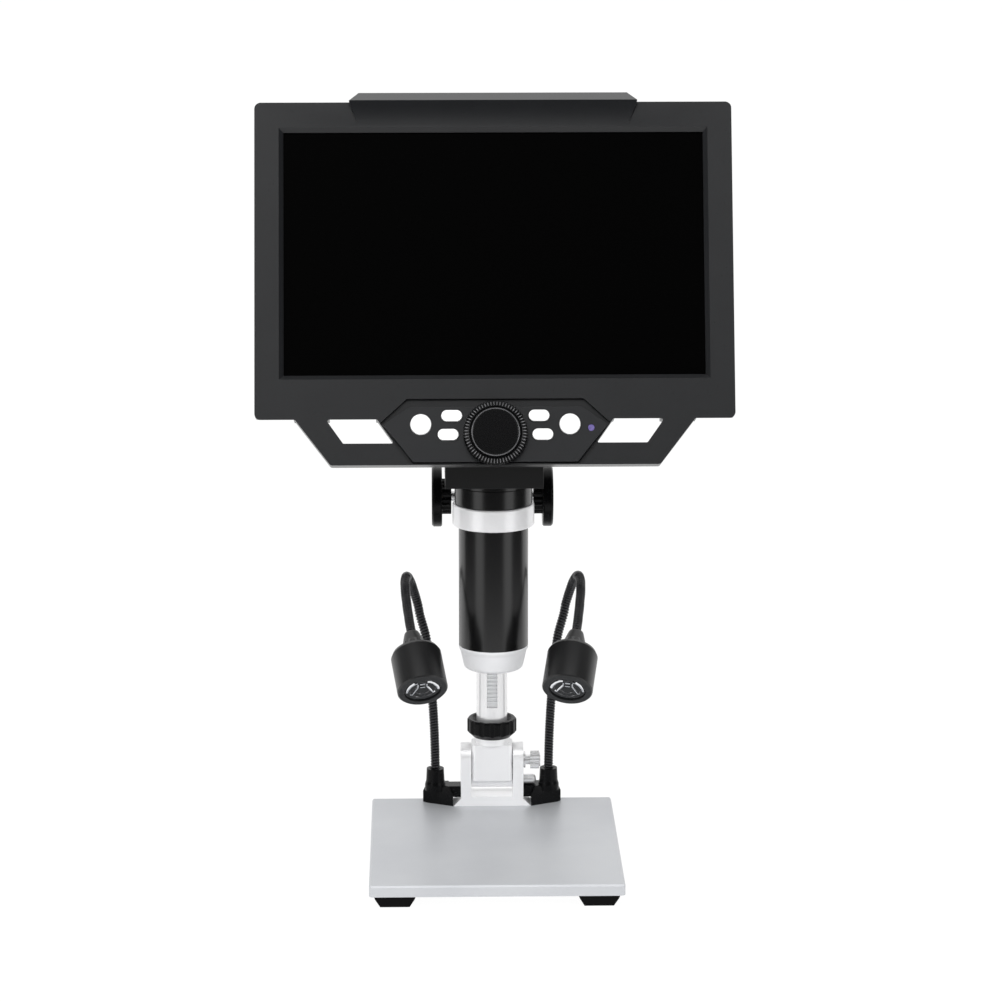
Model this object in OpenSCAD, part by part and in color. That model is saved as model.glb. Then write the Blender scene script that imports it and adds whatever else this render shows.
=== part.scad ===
// Digital microscope with a tilted flat display, a rack column and two gooseneck lamps.
// Millimetres, +Z up, front towards -Y, origin under the middle of the base plate.

/* [Base] */
// Width of the base plate
plate_w = 120; // [100:1:160]
// Depth of the base plate
plate_d = 135; // [110:1:170]
// Thickness of the base plate
plate_t = 5.5; // [4:0.5:8]
// Bevel along the upper edge of the base plate
plate_bevel = 0.8; // [0.4:0.1:1.5]
// Corner radius of the base plate
plate_corner = 2; // [1:0.5:6]
// Side of a rubber foot where it meets the plate
foot_top_w = 19.5; // [14:0.5:24]
// Side of a rubber foot on the desk
foot_bottom_w = 13.8; // [9:0.1:20]
// Height of a rubber foot
foot_h = 6.6; // [4:0.1:10]
// Distance from the plate's edge to a foot
foot_inset = 2.3; // [1:0.1:8]

/* [Tilting hinge] */
// Depth of the hinge bracket, front to back
bracket_d = 14.1; // [12:0.1:18]
// Height of the bracket's ears above the plate
ear_h = 31; // [28:0.5:36]
// Thickness of each ear
ear_t = 5.2; // [4:0.1:7]
// Width of the hinge block between the ears
block_w = 20.4; // [18:0.1:26]
// Thickness of the web that joins the ears
web_t = 4.8; // [3:0.1:5.2]
// Size of the bevelled flare at the foot of each ear
flare = 3.7; // [2:0.1:5]
// Height of the tilt axis above the plate
pivot_h = 12; // [11.8:0.1:14]
// Distance from the tilt axis up to the locking screw
lock_r = 10; // [9:0.1:12]
// Diameter of the pivot bolt
pivot_dia = 5; // [4:0.1:6]
// Diameter of the locking screw
lock_dia = 5; // [4:0.1:5.5]
// Largest forward tilt of the column
tilt_forward = 18; // [5:1:20]
// Largest backward tilt of the column
tilt_back = 15; // [5:1:20]

/* [Column] */
// Outer diameter of the column
column_dia = 15.4; // [13:0.1:18]
// Inner diameter of the column
column_bore = 9; // [6:0.1:10]
// Height of the column's top above the plate
column_top_h = 220; // [210:1:260]
// Pitch of the teeth of both racks
rack_pitch = 2; // [1.8:0.1:2.4]
// Width of the height rack
rack_w = 5; // [4:0.1:7]
// Number of teeth of both pinions
pinion_teeth = 12; // [11:1:14]
// Diameter of the fluted clamping nut
nut_dia = 24.5; // [22:0.1:30]
// Height of the fluted clamping nut
nut_h = 9.8; // [8:0.1:14]
// Number of flutes round the nut
nut_flutes = 14; // [12:1:24]

/* [Carriage] */
// Distance from the column's axis to the camera tube's axis
reach = 40; // [39:0.5:50]
// Height of the ring's lower edge above the plate
ring_low_h = 152.8; // [120:0.1:160]
// Height of the holding ring
ring_h = 10.5; // [8:0.1:14]
// Wall of the holding ring
ring_wall = 2.85; // [2:0.05:4]
// Height of the sliding carriage
carriage_h = 29; // [26:0.5:36]
// Width of the sliding carriage
carriage_w = 26; // [24:0.5:34]

/* [Height knobs] */
// Diameter of the height knobs
knob_dia = 29.6; // [22:0.1:29.8]
// Thickness of a knob's disc
knob_t = 5; // [3:0.1:8]
// Diameter of a knob's ribbed boss
boss_dia = 17.5; // [12:0.1:22]
// Length of a knob's ribbed boss
boss_l = 4.5; // [3:0.1:8]
// Distance from the carriage's side to a knob
knob_gap = 7; // [3:0.1:10]
// Diameter of the knobs' shared axle
axle_dia = 5; // [4:0.1:5]

/* [Camera tube] */
// Outer diameter of the camera tube
tube_dia = 33.5; // [32:0.1:38]
// Wall of the camera tube
tube_wall = 1.6; // [1.2:0.1:2]
// Length of the camera tube below the ring
tube_drop = 59.8; // [50:0.1:70]
// Height of the white nose ring
nose_h = 11.6; // [8:0.1:16]
// Diameter of the nose ring's lower end
nose_low_dia = 29; // [26:0.1:31]
// Wall of the collar above the ring
collar_wall = 1.9; // [1.4:0.1:3]
// Height of the collar above the ring
collar_h = 11.5; // [9:0.1:16]
// How far the thin flange on top of the collar stands out from the tube
collar_lip = 3.2; // [2:0.1:3.8]
// Travel of the lens carrier each way
lens_travel = 10; // [6:1:12]

/* [Display head] */
// Width of the display housing
housing_w = 224; // [200:1:260]
// Height of the display housing
housing_h = 150; // [140:1:170]
// Tilt of the display's face back from upright
face_tilt = 19; // [14:0.5:22]
// Height of the display's centre above the neck's floor
face_rise = 109.6; // [108:0.1:120]
// Distance from the tube's axis forward to the display's centre
face_forward = 20.8; // [18:0.1:23]
// Depth of the front shell
shell_d = 12; // [11:0.5:16]
// Depth of the rear cover
cover_d = 18; // [14:0.5:26]
// Width of the visible screen
screen_w = 197; // [170:1:200]
// Height of the visible screen
screen_h = 115; // [100:1:118]
// Distance from the housing's centre up to the screen's centre
screen_up = 3.5; // [0:0.5:5]
// Height of the lower frame below the housing
frame_h = 21.4; // [20:0.1:26]
// Depth of the lower frame
frame_d = 10; // [9.5:0.5:11]
// Width of the neck
neck_w = 46.6; // [44:0.1:56]
// Depth of the neck, front to back
neck_d = 43; // [42:0.5:48]
// Diameter of the focus dial
dial_dia = 30; // [26:0.5:30.5]
// Height of the focus dial above the control plate
dial_h = 6; // [4:0.5:9]
// Diameter of the two round buttons
round_button_dia = 9.8; // [7:0.1:11]
// Length of the four oblong buttons
pill_l = 9.7; // [8:0.1:10.5]
// Height of the four oblong buttons
pill_h = 5.3; // [4:0.1:6]
// Travel of every button
button_travel = 0.8; // [0.4:0.1:0.9]

/* [Lamps] */
// Diameter of a gooseneck
neck_dia = 4.8; // [4:0.1:5.5]
// Number of ribs along each gooseneck
neck_ribs = 110; // [40:1:120]
// Distance from the bracket's side to a gooseneck's foot
lamp_foot_out = 12.7; // [12:0.1:20]
// Diameter of a lamp head
lamp_dia = 24.3; // [20:0.1:26]
// Length of a lamp head's cylinder
lamp_l = 20; // [16:0.5:26]
// Height of a lamp head's ribbed cone
lamp_cone_l = 8.5; // [7:0.5:14]

/* [Fits] */
// Gap between a turning or sliding shaft and its hole, each side
running = 0.05; // [0.02:0.01:0.1]
// Gap beside parts that only sit in place
slack = 0.2; // [0.1:0.05:0.3]

/* [Hidden] */
$fn = 64;

// Heights of the stand, from the desk up
plate_z = foot_h;
top_z = plate_z + plate_t;
pivot_z = top_z + pivot_h;
lock_z = pivot_z + lock_r;
column_y = plate_d / 2 - bracket_d / 2;
block_r = bracket_d / 2 - 0.45;
block_top_z = top_z + ear_h + 0.3;
block_low_z = pivot_z + 0.9;
boss_r = pivot_dia / 2 + 1.5;
nut_z = block_top_z + 3;
column_top_z = top_z + column_top_h;
column_low_z = lock_z + lock_dia / 2 + 2;
ear_in = block_w / 2 + slack;
ear_out = ear_in + ear_t;
lamp_foot_x = ear_out + lamp_foot_out;
bracket_screw_x = ear_in + ear_t / 2;
bracket_screw_r = 1.6;
foot_x = plate_w / 2 - foot_inset - foot_top_w / 2;
foot_y = plate_d / 2 - foot_inset - foot_top_w / 2;
spigot_r = 5.2;
nut_neck_r = column_dia / 2 + 1.6;

// Rack and pinion shared by the height drive and the lens drive
pitch_r = pinion_teeth * rack_pitch / (2 * PI);
addendum = 0.22 * rack_pitch;
dedendum = 0.3 * rack_pitch;
backlash = 0.12;
pressure = 20;
rack_face = sqrt(pow(column_dia / 2, 2) - pow(rack_w / 2, 2)) - 0.1;
rack_root = rack_face - addendum - dedendum;
rack_back = rack_root - 1.6;
rack_above_nut = 8.9;
axle_y = column_y - rack_face + addendum - pitch_r;
rack_low_z = nut_z + nut_h + rack_above_nut;
rack_high_z = column_top_z - 5;

// Ring, carriage and camera tube
tube_y = column_y - reach;
ring_z = top_z + ring_low_h;
ring_top_z = ring_z + ring_h;
ring_r = tube_dia / 2 + running + ring_wall;
axle_z = ring_z + 6.9;
carriage_z = axle_z - carriage_h / 2;
carriage_front_y = tube_y + ring_r + 2.9;
flange_t = 3;
holder_screw_x = carriage_w / 2 - 3.2;
holder_screw_z = carriage_h / 2 - 3.2;
gib_r = column_dia / 2 + 1.5;
gib_h = 6;
bush_r = axle_dia / 2 + 1.4;
knob_x = carriage_w / 2 + knob_gap;
collar_r = tube_dia / 2 + collar_wall;
collar_lip_r = tube_dia / 2 + collar_lip;
collar_z = ring_top_z + 0.1;
neck_z = collar_z + collar_h;
tube_low_z = ring_z - tube_drop;
tube_in_r = tube_dia / 2 - tube_wall;
tube_top_z = neck_z + 6;
nose_z = tube_low_z - nose_h;
neck_floor_t = 2.5;
nose_hole_r = tube_in_r - 4.65;
nose_round = 2.2;
window_r = tube_in_r - 2.95;

// Display head: x to the right, y up the face, z out of the face
face_y = tube_y - face_forward;
face_z = neck_z + face_rise;
frame_low = -housing_h / 2 - frame_h;
dial_up = frame_low + dial_dia / 2 - 0.4;
recess_d = 2;
plate_rise = 0.6;
shaft_r = 2.5;
dial_flutes = 60;
flute_w = 0.7;
pinion_rear = 5;
pinion_gap = tube_in_r - 6.15;
pinion_depth = (tube_y + pinion_gap - face_y - dial_up * sin(face_tilt)) / cos(face_tilt);
pinion_z = face_z + dial_up * cos(face_tilt) - pinion_depth * sin(face_tilt);
optic_r = tube_in_r - 7.15;
ring_lamp_out = tube_in_r - 4.95;
barrel_l = 24;
barrel_z = tube_low_z + 32;
board_z = neck_z - 8;
rod_r = 1.5;
rod_out = tube_in_r - 3.1;
lens_rack_t = 3;
lens_rack_w = 5;
lens_rack_x = pitch_r + dedendum;

// Neck, shells and their openings
neck_front_y = tube_y - neck_d / 2;
neck_rear_y = tube_y + neck_d / 2;
neck_step_z = neck_z + 11;
neck_chamfer = 4;
neck_rear_z = neck_z + 35;
cover_back = -shell_d - cover_d;
frame_top_x = housing_w / 2 - 18.7;
frame_low_x = frame_top_x - 16.6;
recess_top = -housing_h / 2 + 9.6;
window_low = -housing_h / 2 - 11.2;
window_in_x = 55;
window_out_x = frame_top_x - 14.5;
under_rise = 0.16;
brow_in = 44.4;
bush_out_r = 5;
cover_edge = 14;

// Keys and their switches, in the head's frame
round_x = 34.7;
round_up = -housing_h / 2 - 2.5;
pill_in_x = 20.3;
pill_out_x = 22;
pill_high = -housing_h / 2 + 1.5;
pill_low = -housing_h / 2 - 7.3;
indicator_at = [44.6, -housing_h / 2 - 4.3];
board_face = -6.4;
switch_h = 1;
stem_low = board_face + switch_h + button_travel + 0.1;

// Lamps
lamp_lean = 50;
lamp_toe = 9;
neck_bend_r = 20;
lamp_bend_x = 42.7;
neck_r = neck_dia / 2;
socket_z = top_z + 9.7;
socket_top_z = socket_z + 8.2;
socket_r = neck_r + 2.2;
neck_start_z = socket_top_z - 3;
lamp_axis = [-sin(lamp_toe), -cos(lamp_toe) * sin(lamp_lean), -cos(lamp_toe) * cos(lamp_lean)];
bend_z = top_z + 101.2;
lean_in_l = 18;
bend_turn = 180 - lamp_lean;
run_l = 25.7;
rise_end = [lamp_foot_x + 4, column_y, bend_z - lean_in_l];
bend_x0 = 36.3;
neck_bore_steps = 40;
lamp_shoulder = 3.4;
lamp_face = lamp_cone_l + lamp_shoulder + lamp_l;
lamp_cup_r = lamp_dia / 2 - 3.2;

// ---- Shared shapes ----

function unit(v) = v / norm(v);

// Points of a rounded corner at b, coming from a and leaving to c
function corner(a, b, c, r, steps) =
    let (u = unit(a - b), w = unit(c - b), half = acos(u * w) / 2)
    let (mid = b + unit(u + w) * r / sin(half), s = b + u * r / tan(half) - mid)
    let (turn = (180 - 2 * half) * sign(cross(b - a, c - b)))
    [for (i = [0:steps]) let (t = turn * i / steps)
        mid + [s.x * cos(t) - s.y * sin(t), s.x * sin(t) + s.y * cos(t)]];

// Outline with every corner rounded
function rounded(p, r, steps = 4) =
    let (n = len(p))
    [for (i = [0:n - 1]) each corner(p[(i + n - 1) % n], p[i], p[(i + 1) % n], r, steps)];

function mirrored(p) = concat(p, [for (i = [len(p) - 1:-1:0]) [-p[i].x, p[i].y]]);

module rounded_rect(w, h, r) {
    square([w - 2 * r, h], center = true);
    square([w, h - 2 * r], center = true);
    for (x = [-1, 1], y = [-1, 1])
        translate([x * (w / 2 - r), y * (h / 2 - r)]) circle(r);
}

// Rod along X between two places
module x_rod(x0, x1, r) {
    translate([x0, 0, 0]) rotate([0, 90, 0]) cylinder(h = x1 - x0, r = r);
}

// Rod along Y between two places
module y_rod(y0, y1, r) {
    translate([0, y0, 0]) rotate([-90, 0, 0]) cylinder(h = y1 - y0, r = r);
}

// The display head's own frame, its origin in the middle of the bezel's face
module on_face() {
    translate([0, face_y, face_z]) rotate([90 - face_tilt, 0, 0]) children();
}

// A side profile given in [y, z] of the stand, made as wide as w
module side_profile(points, w) {
    translate([-w / 2, 0, 0]) rotate([90, 0, 90]) linear_extrude(w) polygon(points);
}

// One flank of an involute tooth, from the base circle outwards
function involute(base, a) =
    base * [cos(a) + a * PI / 180 * sin(a), sin(a) - a * PI / 180 * cos(a)];

function turned(p, a) = [p.x * cos(a) - p.y * sin(a), p.x * sin(a) + p.y * cos(a)];

// Pinion outline with a tooth space centred on +X
function pinion_outline() =
    let (base = pitch_r * cos(pressure), tip = pitch_r + addendum, root = pitch_r - dedendum)
    let (a_pitch = sqrt(pow(pitch_r / base, 2) - 1) * 180 / PI)
    let (a_tip = sqrt(pow(tip / base, 2) - 1) * 180 / PI, roll = a_pitch - atan(a_pitch * PI / 180))
    let (half = (rack_pitch / 2 - backlash) / pitch_r / 2 * 180 / PI + roll, steps = 4)
    [for (k = [0:pinion_teeth - 1]) let (mid = (k + 0.5) * 360 / pinion_teeth)
        each concat(
            [turned([root, 0], mid - half)],
            [for (i = [0:steps]) turned(involute(base, a_tip * i / steps), mid - half)],
            [for (i = [steps:-1:0]) let (q = involute(base, a_tip * i / steps))
                turned([q.x, -q.y], mid + half)],
            [turned([root, 0], mid + half)])];

// Rack outline: teeth towards -X, pitch line at x = 0, a tooth centred on y = 0
function rack_outline(low, high, back) =
    let (half = rack_pitch / 4 - backlash / 2, slope = tan(pressure))
    let (first = ceil(low / rack_pitch), last = floor(high / rack_pitch))
    concat([[back, low - rack_pitch], [dedendum, low - rack_pitch]],
        [for (k = [first:last]) each [
            [dedendum, k * rack_pitch - half - dedendum * slope],
            [-addendum, k * rack_pitch - half + addendum * slope],
            [-addendum, k * rack_pitch + half - addendum * slope],
            [dedendum, k * rack_pitch + half + dedendum * slope]]],
        [[dedendum, high + rack_pitch], [back, high + rack_pitch]]);

// ---- Base ----

module base_plate() {
    color("silver")
    difference() {
        intersection() {
            translate([0, 0, plate_z]) linear_extrude(plate_t)
                rounded_rect(plate_w, plate_d, plate_corner);
            side_profile([
                [-plate_d / 2, plate_z], [plate_d / 2, plate_z],
                [plate_d / 2, top_z - plate_bevel], [plate_d / 2 - plate_bevel, top_z],
                [plate_bevel - plate_d / 2, top_z], [-plate_d / 2, top_z - plate_bevel]],
                plate_w + 2);
            translate([0, plate_d / 2 + 1, 0]) rotate([90, 0, 0]) linear_extrude(plate_d + 2)
                polygon(mirrored([
                    [plate_w / 2, plate_z], [plate_w / 2, top_z - plate_bevel],
                    [plate_w / 2 - plate_bevel, top_z]]));
        }
        for (x = [-bracket_screw_x, bracket_screw_x]) translate([x, column_y, 0]) {
            translate([0, 0, plate_z - 1]) cylinder(h = plate_t + 2, r = bracket_screw_r + slack);
            translate([0, 0, plate_z - 1]) cylinder(h = 3.4, r = 2 * bracket_screw_r + slack);
        }
    }
}

// Tapered square pads, each with a rounded sole
module rubber_feet() {
    color("#18191b")
    for (x = [-foot_x, foot_x], y = [-foot_y, foot_y]) translate([x, y, 0])
        intersection() {
            linear_extrude(foot_h) rounded_rect(foot_top_w, foot_top_w, 2);
            foot_taper();
        }
}

module foot_taper() {
    half_low = foot_bottom_w / 2;
    half_top = foot_top_w / 2;
    outline = mirrored([[half_low, 0], [half_top, foot_h - 1.2], [half_top, foot_h]]);
    intersection() {
        translate([0, foot_top_w, 0]) rotate([90, 0, 0])
            linear_extrude(2 * foot_top_w) polygon(outline);
        translate([-foot_top_w, 0, 0]) rotate([90, 0, 90])
            linear_extrude(2 * foot_top_w) polygon(outline);
    }
}

// Clevis: a web with two round-topped ears, the right one slotted for the locking screw
module hinge_bracket() {
    color("gainsboro")
    difference() {
        union() {
            translate([0, column_y + bracket_d / 2, 0]) rotate([90, 0, 0])
                linear_extrude(bracket_d) polygon(mirrored([
                    [ear_out + flare, top_z], [ear_out, top_z + flare],
                    [ear_out, top_z + ear_h - bracket_d / 2], [ear_in, top_z + ear_h - bracket_d / 2],
                    [ear_in, top_z + web_t]]));
            for (side = [0, 1]) mirror([side, 0, 0])
                translate([0, column_y, top_z + ear_h - bracket_d / 2])
                    x_rod(ear_in, ear_out, bracket_d / 2);
        }
        translate([0, column_y, pivot_z]) x_rod(-ear_out - 1, ear_out + 1, pivot_dia / 2 + running);
        lock_slot();
        for (x = [-bracket_screw_x, bracket_screw_x]) translate([x, column_y, top_z - 1])
            cylinder(h = 8, r = bracket_screw_r);
    }
}

// Curved slot in the right ear, centred on the tilt axis
module lock_slot() {
    slot_r = lock_dia / 2 + slack;
    translate([ear_in - 1, column_y, pivot_z]) rotate([90, 0, 90]) linear_extrude(ear_t + 2) {
        polygon(concat(
            [for (i = [-6:6]) (lock_r + slot_r) * slot_direction(i)],
            [for (i = [6:-1:-6]) (lock_r - slot_r) * slot_direction(i)]));
        for (i = [-6, 6]) translate(lock_r * slot_direction(i)) circle(slot_r);
    }
}

function slot_direction(i) =
    let (mid = (tilt_forward - tilt_back) / 2, half = (tilt_forward + tilt_back) / 2)
    let (a = 90 + mid + half * i / 6)
    [cos(a), sin(a)];

module bracket_screws() {
    color("dimgray")
    for (x = [-bracket_screw_x, bracket_screw_x]) translate([x, column_y, 0]) {
        translate([0, 0, plate_z + 0.4]) difference() {
            cylinder(h = 2, r = 2 * bracket_screw_r);
            translate([0, 0, -1]) cylinder(h = 2.2, r = 1.2, $fn = 6);
        }
        translate([0, 0, plate_z + 2.3]) cylinder(h = plate_t + 3.8, r = bracket_screw_r - 0.02);
    }
}

// Pivot bolt with a round-ended stub on the right
module pivot_bolt() {
    color("gainsboro")
    translate([0, column_y, pivot_z]) {
        x_rod(-ear_out, ear_out + 5, pivot_dia / 2);
        translate([ear_out + 5, 0, 0]) rotate([0, 90, 0]) rotate_extrude()
            intersection() {
                scale([1, 0.6]) circle(pivot_dia / 2);
                square([pivot_dia, pivot_dia]);
            }
    }
}

// Wedge-shaped feet with a socket for each gooseneck and a tongue to the bracket
module lamp_feet() {
    color("#1c1d1f")
    for (side = [0, 1]) mirror([side, 0, 0]) difference() {
        union() {
            translate([0, 0, top_z]) linear_extrude(5.5) polygon(lamp_foot_plan(0));
            lamp_foot_shoulder();
            translate([ear_out + 0.05, column_y - 4, top_z + flare + 0.2])
                cube([lamp_foot_x - ear_out - 4, 8, 5.6]);
            translate([lamp_foot_x, column_y, socket_z - 3]) rotate_extrude()
                polygon([[0, 0], [socket_r + 0.6, 0], [socket_r + 0.6, 3], [socket_r, 5],
                    [socket_r - 0.3, 11.2], [socket_r - 0.7, 11.2], [0, 11.2]]);
        }
        translate([lamp_foot_x, column_y, neck_start_z]) cylinder(h = 9, r = neck_r + 0.15);
    }
}

// The wedge seen from above, drawn in by a margin towards its top
function lamp_foot_plan(in) =
    let (x0 = ear_out + flare + 0.15 + in, x1 = lamp_foot_x + 6.2 - in)
    let (y0 = column_y - bracket_d / 2 + in, y1 = column_y + bracket_d / 2 - in)
    [[x0, y0], [x1 - 1.5, y0 + 6.6], [x1, y0 + 8.5], [x1 - 0.8, y1], [x0, y1]];

module lamp_foot_shoulder() {
    hull() {
        translate([0, 0, top_z + 5.5]) linear_extrude(0.1) polygon(lamp_foot_plan(0));
        translate([0, 0, socket_z - 0.1]) linear_extrude(0.1) polygon(lamp_foot_plan(2.2));
    }
}

// ---- Column ----

// Block with a round underside that turns between the ears and carries the column
module hinge_block() {
    color("gainsboro")
    difference() {
        union() {
            translate([0, column_y, pivot_z]) x_rod(-block_w / 2, block_w / 2, boss_r);
            translate([0, column_y, block_low_z]) linear_extrude(block_top_z - block_low_z)
                rounded_rect(block_w, 2 * block_r, 2.5);
            translate([0, column_y, block_top_z - 0.1]) cylinder(h = 3.1, r = nut_neck_r - 1.1);
            translate([0, column_y, block_top_z + 2.9]) cylinder(h = nut_h - 3, r = nut_neck_r);
        }
        translate([0, column_y, pivot_z]) x_rod(-block_w, block_w, pivot_dia / 2 + running);
        translate([0, column_y, lock_z]) x_rod(0, block_w, lock_dia / 2);
        translate([0, column_y, column_low_z])
            cylinder(h = block_top_z + nut_h - column_low_z, r = spigot_r + running);
        translate([0, column_y, block_top_z + 0.4]) cylinder(h = nut_h, r = column_dia / 2 + running);
    }
}

// Thumb screw that clamps the block to the slotted ear
module lock_screw() {
    color("gainsboro")
    translate([0, column_y, lock_z]) {
        x_rod(block_w / 2 - 6, ear_out + 3.6, lock_dia / 2 - 0.02);
        x_rod(ear_out + 0.1, ear_out + 1.1, lock_dia / 2 + 1.7);
        translate([ear_out + 3.5, 0, 0]) rotate([0, 90, 0]) linear_extrude(4.5) knurl(4.5, 4.15, 24);
        x_rod(ear_out + 7.9, ear_out + 8.5, 3.4);
    }
}

// Knurled outline between two radii
module knurl(outer, inner, count) {
    polygon([for (i = [0:2 * count - 1]) let (a = 180 * i / count)
        (i % 2 == 0 ? outer : inner) * [cos(a), sin(a)]]);
}

// Tube with a narrower spigot and a flat slot for the rack down its front
module column_tube() {
    color("gainsboro")
    difference() {
        union() {
            translate([0, column_y, column_low_z + 0.3])
                cylinder(h = block_top_z - column_low_z + 2, r = spigot_r);
            translate([0, column_y, block_top_z + 0.5])
                cylinder(h = column_top_z - block_top_z - 0.5, r = column_dia / 2);
        }
        translate([0, column_y, column_low_z - 1])
            cylinder(h = column_top_z, r = column_bore / 2 - 0.9);
        translate([0, column_y, nut_z + nut_h])
            cylinder(h = column_top_z, r = column_bore / 2);
        translate([-rack_w / 2 - 0.05, column_y - column_dia, rack_low_z - rack_pitch])
            cube([rack_w + 0.1, column_dia - rack_back, rack_high_z - rack_low_z + 2 * rack_pitch]);
    }
}

// Toothed strip let into the front of the column
module height_rack() {
    color("silver")
    translate([-rack_w / 2, column_y - rack_face + addendum, axle_z]) rotate([90, 0, 90])
        linear_extrude(rack_w) polygon(rack_outline(
            rack_low_z - axle_z, rack_high_z - axle_z, rack_face - addendum - rack_back - 0.02));
}

module column_cap() {
    color("#1c1d1f")
    translate([0, column_y, column_top_z]) {
        rotate_extrude() polygon([[0, 0], [column_dia / 2, 0], [column_dia / 2, 1.6],
            [column_dia / 2 - 1.2, 2.8], [0, 2.8]]);
        translate([0, 0, -6]) cylinder(h = 6.1, r = column_bore / 2 - running);
    }
}

// Fluted nut with a bevelled mouth; its thread rides on the block's neck
module collet_nut() {
    color("#18191b")
    translate([0, column_y, nut_z]) difference() {
        rotate_extrude() polygon([[0, 0], [nut_dia / 2 - 3.4, 0], [nut_dia / 2, 3.2],
            [nut_dia / 2, nut_h - 0.8], [nut_dia / 2 - 0.8, nut_h], [0, nut_h]]);
        translate([0, 0, -1]) cylinder(h = nut_h - 1.2, r = nut_neck_r + running);
        translate([0, 0, -1]) cylinder(h = nut_h + 2, r = column_dia / 2 + 0.3);
        translate([0, 0, nut_h - 2]) rotate_extrude()
            polygon([[0, 0], [column_dia / 2 + 0.4, 0], [column_dia / 2 + 2.7, 2.3], [0, 2.3]]);
        for (i = [0:nut_flutes - 1]) rotate((i + 0.5) * 360 / nut_flutes)
            translate([nut_dia / 2 + 1.5, 0, -1]) cylinder(h = nut_h + 2, r = 2.2);
    }
}

// ---- Carriage ----

// Casting that slides on the column and holds the pinion
module carriage_body() {
    color("gainsboro")
    difference() {
        union() {
            translate([-carriage_w / 2, carriage_front_y, carriage_z])
                cube([carriage_w, column_y - carriage_front_y, carriage_h]);
            translate([0, column_y, carriage_z]) cylinder(h = carriage_h, r = carriage_w / 2);
        }
        translate([0, column_y, carriage_z - 1])
            cylinder(h = carriage_h + 2, r = column_dia / 2 + 0.3);
        for (z = [carriage_z - 1, carriage_z + carriage_h - gib_h])
            translate([0, column_y, z]) cylinder(h = gib_h + 1, r = gib_r);
        translate([0, axle_y, axle_z]) {
            x_rod(-carriage_w, carriage_w, bush_r);
            x_rod(-rack_w / 2 - 1, rack_w / 2 + 1, pitch_r + addendum + 0.6);
        }
        translate([-rack_w / 2 - 1, axle_y, axle_z - pitch_r - addendum - 0.6])
            cube([rack_w + 2, column_y - axle_y, 2 * (pitch_r + addendum + 0.6)]);
        translate([0, 0, axle_z]) y_rod(column_y, column_y + carriage_w, 2);
        for (x = [-holder_screw_x, holder_screw_x], z = [-holder_screw_z, holder_screw_z])
            translate([x, 0, axle_z + z]) y_rod(carriage_front_y - 1, carriage_front_y + 6, 1.2);
    }
}

// Plain bushes in which the axle turns
module axle_bushes() {
    color("goldenrod")
    for (side = [0, 1]) mirror([side, 0, 0]) translate([0, axle_y, axle_z]) difference() {
        union() {
            x_rod(rack_w / 2 + 1.2, carriage_w / 2, bush_r - 0.01);
            x_rod(carriage_w / 2, carriage_w / 2 + 1, bush_r + 1.2);
        }
        x_rod(0, carriage_w, axle_dia / 2 + running);
    }
}

// Two plastic liner rings that guide the carriage on the column
module carriage_gibs() {
    color("ivory")
    for (z = [carriage_z, carriage_z + carriage_h - gib_h]) translate([0, column_y, z])
        difference() {
            cylinder(h = gib_h, r = gib_r);
            translate([0, 0, -1]) cylinder(h = gib_h + 2, r = column_dia / 2 + running);
        }
}

// Ring and flange that carry the camera tube
module ring_holder() {
    color("whitesmoke")
    difference() {
        union() {
            translate([0, tube_y, ring_z]) rotate_extrude() polygon([
                [tube_dia / 2 - 1, 0], [ring_r - 0.5, 0], [ring_r, 0.5], [ring_r, ring_h - 0.5],
                [ring_r - 0.5, ring_h], [tube_dia / 2 - 1, ring_h]]);
            translate([-carriage_w / 2 + 4, tube_y + tube_dia / 2, ring_z])
                cube([carriage_w - 8, carriage_front_y - tube_y - tube_dia / 2 - 1, ring_h]);
            translate([-carriage_w / 2, carriage_front_y - flange_t, carriage_z])
                cube([carriage_w, flange_t, ring_top_z - carriage_z]);
            translate([-carriage_w / 2, carriage_front_y - 2.2, carriage_z])
                cube([carriage_w, 2.2, carriage_h]);
        }
        translate([0, tube_y, ring_z - 1]) cylinder(h = ring_h + 2, r = tube_dia / 2 + running);
        translate([0, tube_y, ring_top_z]) cylinder(h = carriage_h, r = collar_r + 0.3);
        for (x = [-holder_screw_x, holder_screw_x], z = [-holder_screw_z, holder_screw_z])
            translate([x, 0, axle_z + z])
                y_rod(carriage_front_y - flange_t - 1, carriage_front_y + 1, 1.2 + slack);
        translate([0, tube_y, ring_z + ring_h / 2]) rotate(35) x_rod(0, ring_r + 4, 1.5);
    }
}

// Four screws through the flange and a grub screw that stops the tube in its ring
module holder_screws() {
    color("dimgray") {
        for (x = [-holder_screw_x, holder_screw_x], z = [-holder_screw_z, holder_screw_z])
            translate([x, 0, axle_z + z]) {
                y_rod(carriage_front_y - flange_t, carriage_front_y + 4.8, 1.18);
                y_rod(carriage_front_y - flange_t - 1.5, carriage_front_y - flange_t, 2.1);
            }
        translate([0, tube_y, ring_z + ring_h / 2]) rotate(35)
            x_rod(tube_dia / 2 + running, ring_r + 0.6, 1.48);
    }
}

// Screw behind the carriage that sets how stiffly it slides
module drag_screw() {
    color("silver")
    translate([0, 0, axle_z]) {
        y_rod(column_y + column_dia / 2 + 0.02, column_y + carriage_w / 2 + 2, 1.97);
        translate([0, column_y + carriage_w / 2 + 2, 0]) rotate([-90, 0, 0])
            linear_extrude(5) knurl(5, 4.6, 24);
    }
}

// Axle with its pinion, shared by both height knobs
module height_axle() {
    color("silver")
    translate([0, axle_y, axle_z]) {
        x_rod(-knob_x - boss_l - knob_t + 1.5, knob_x + boss_l + knob_t - 1.5, axle_dia / 2);
        translate([-rack_w / 2, 0, 0]) rotate([90, 0, 90])
            linear_extrude(rack_w) polygon(pinion_outline());
    }
}

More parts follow.
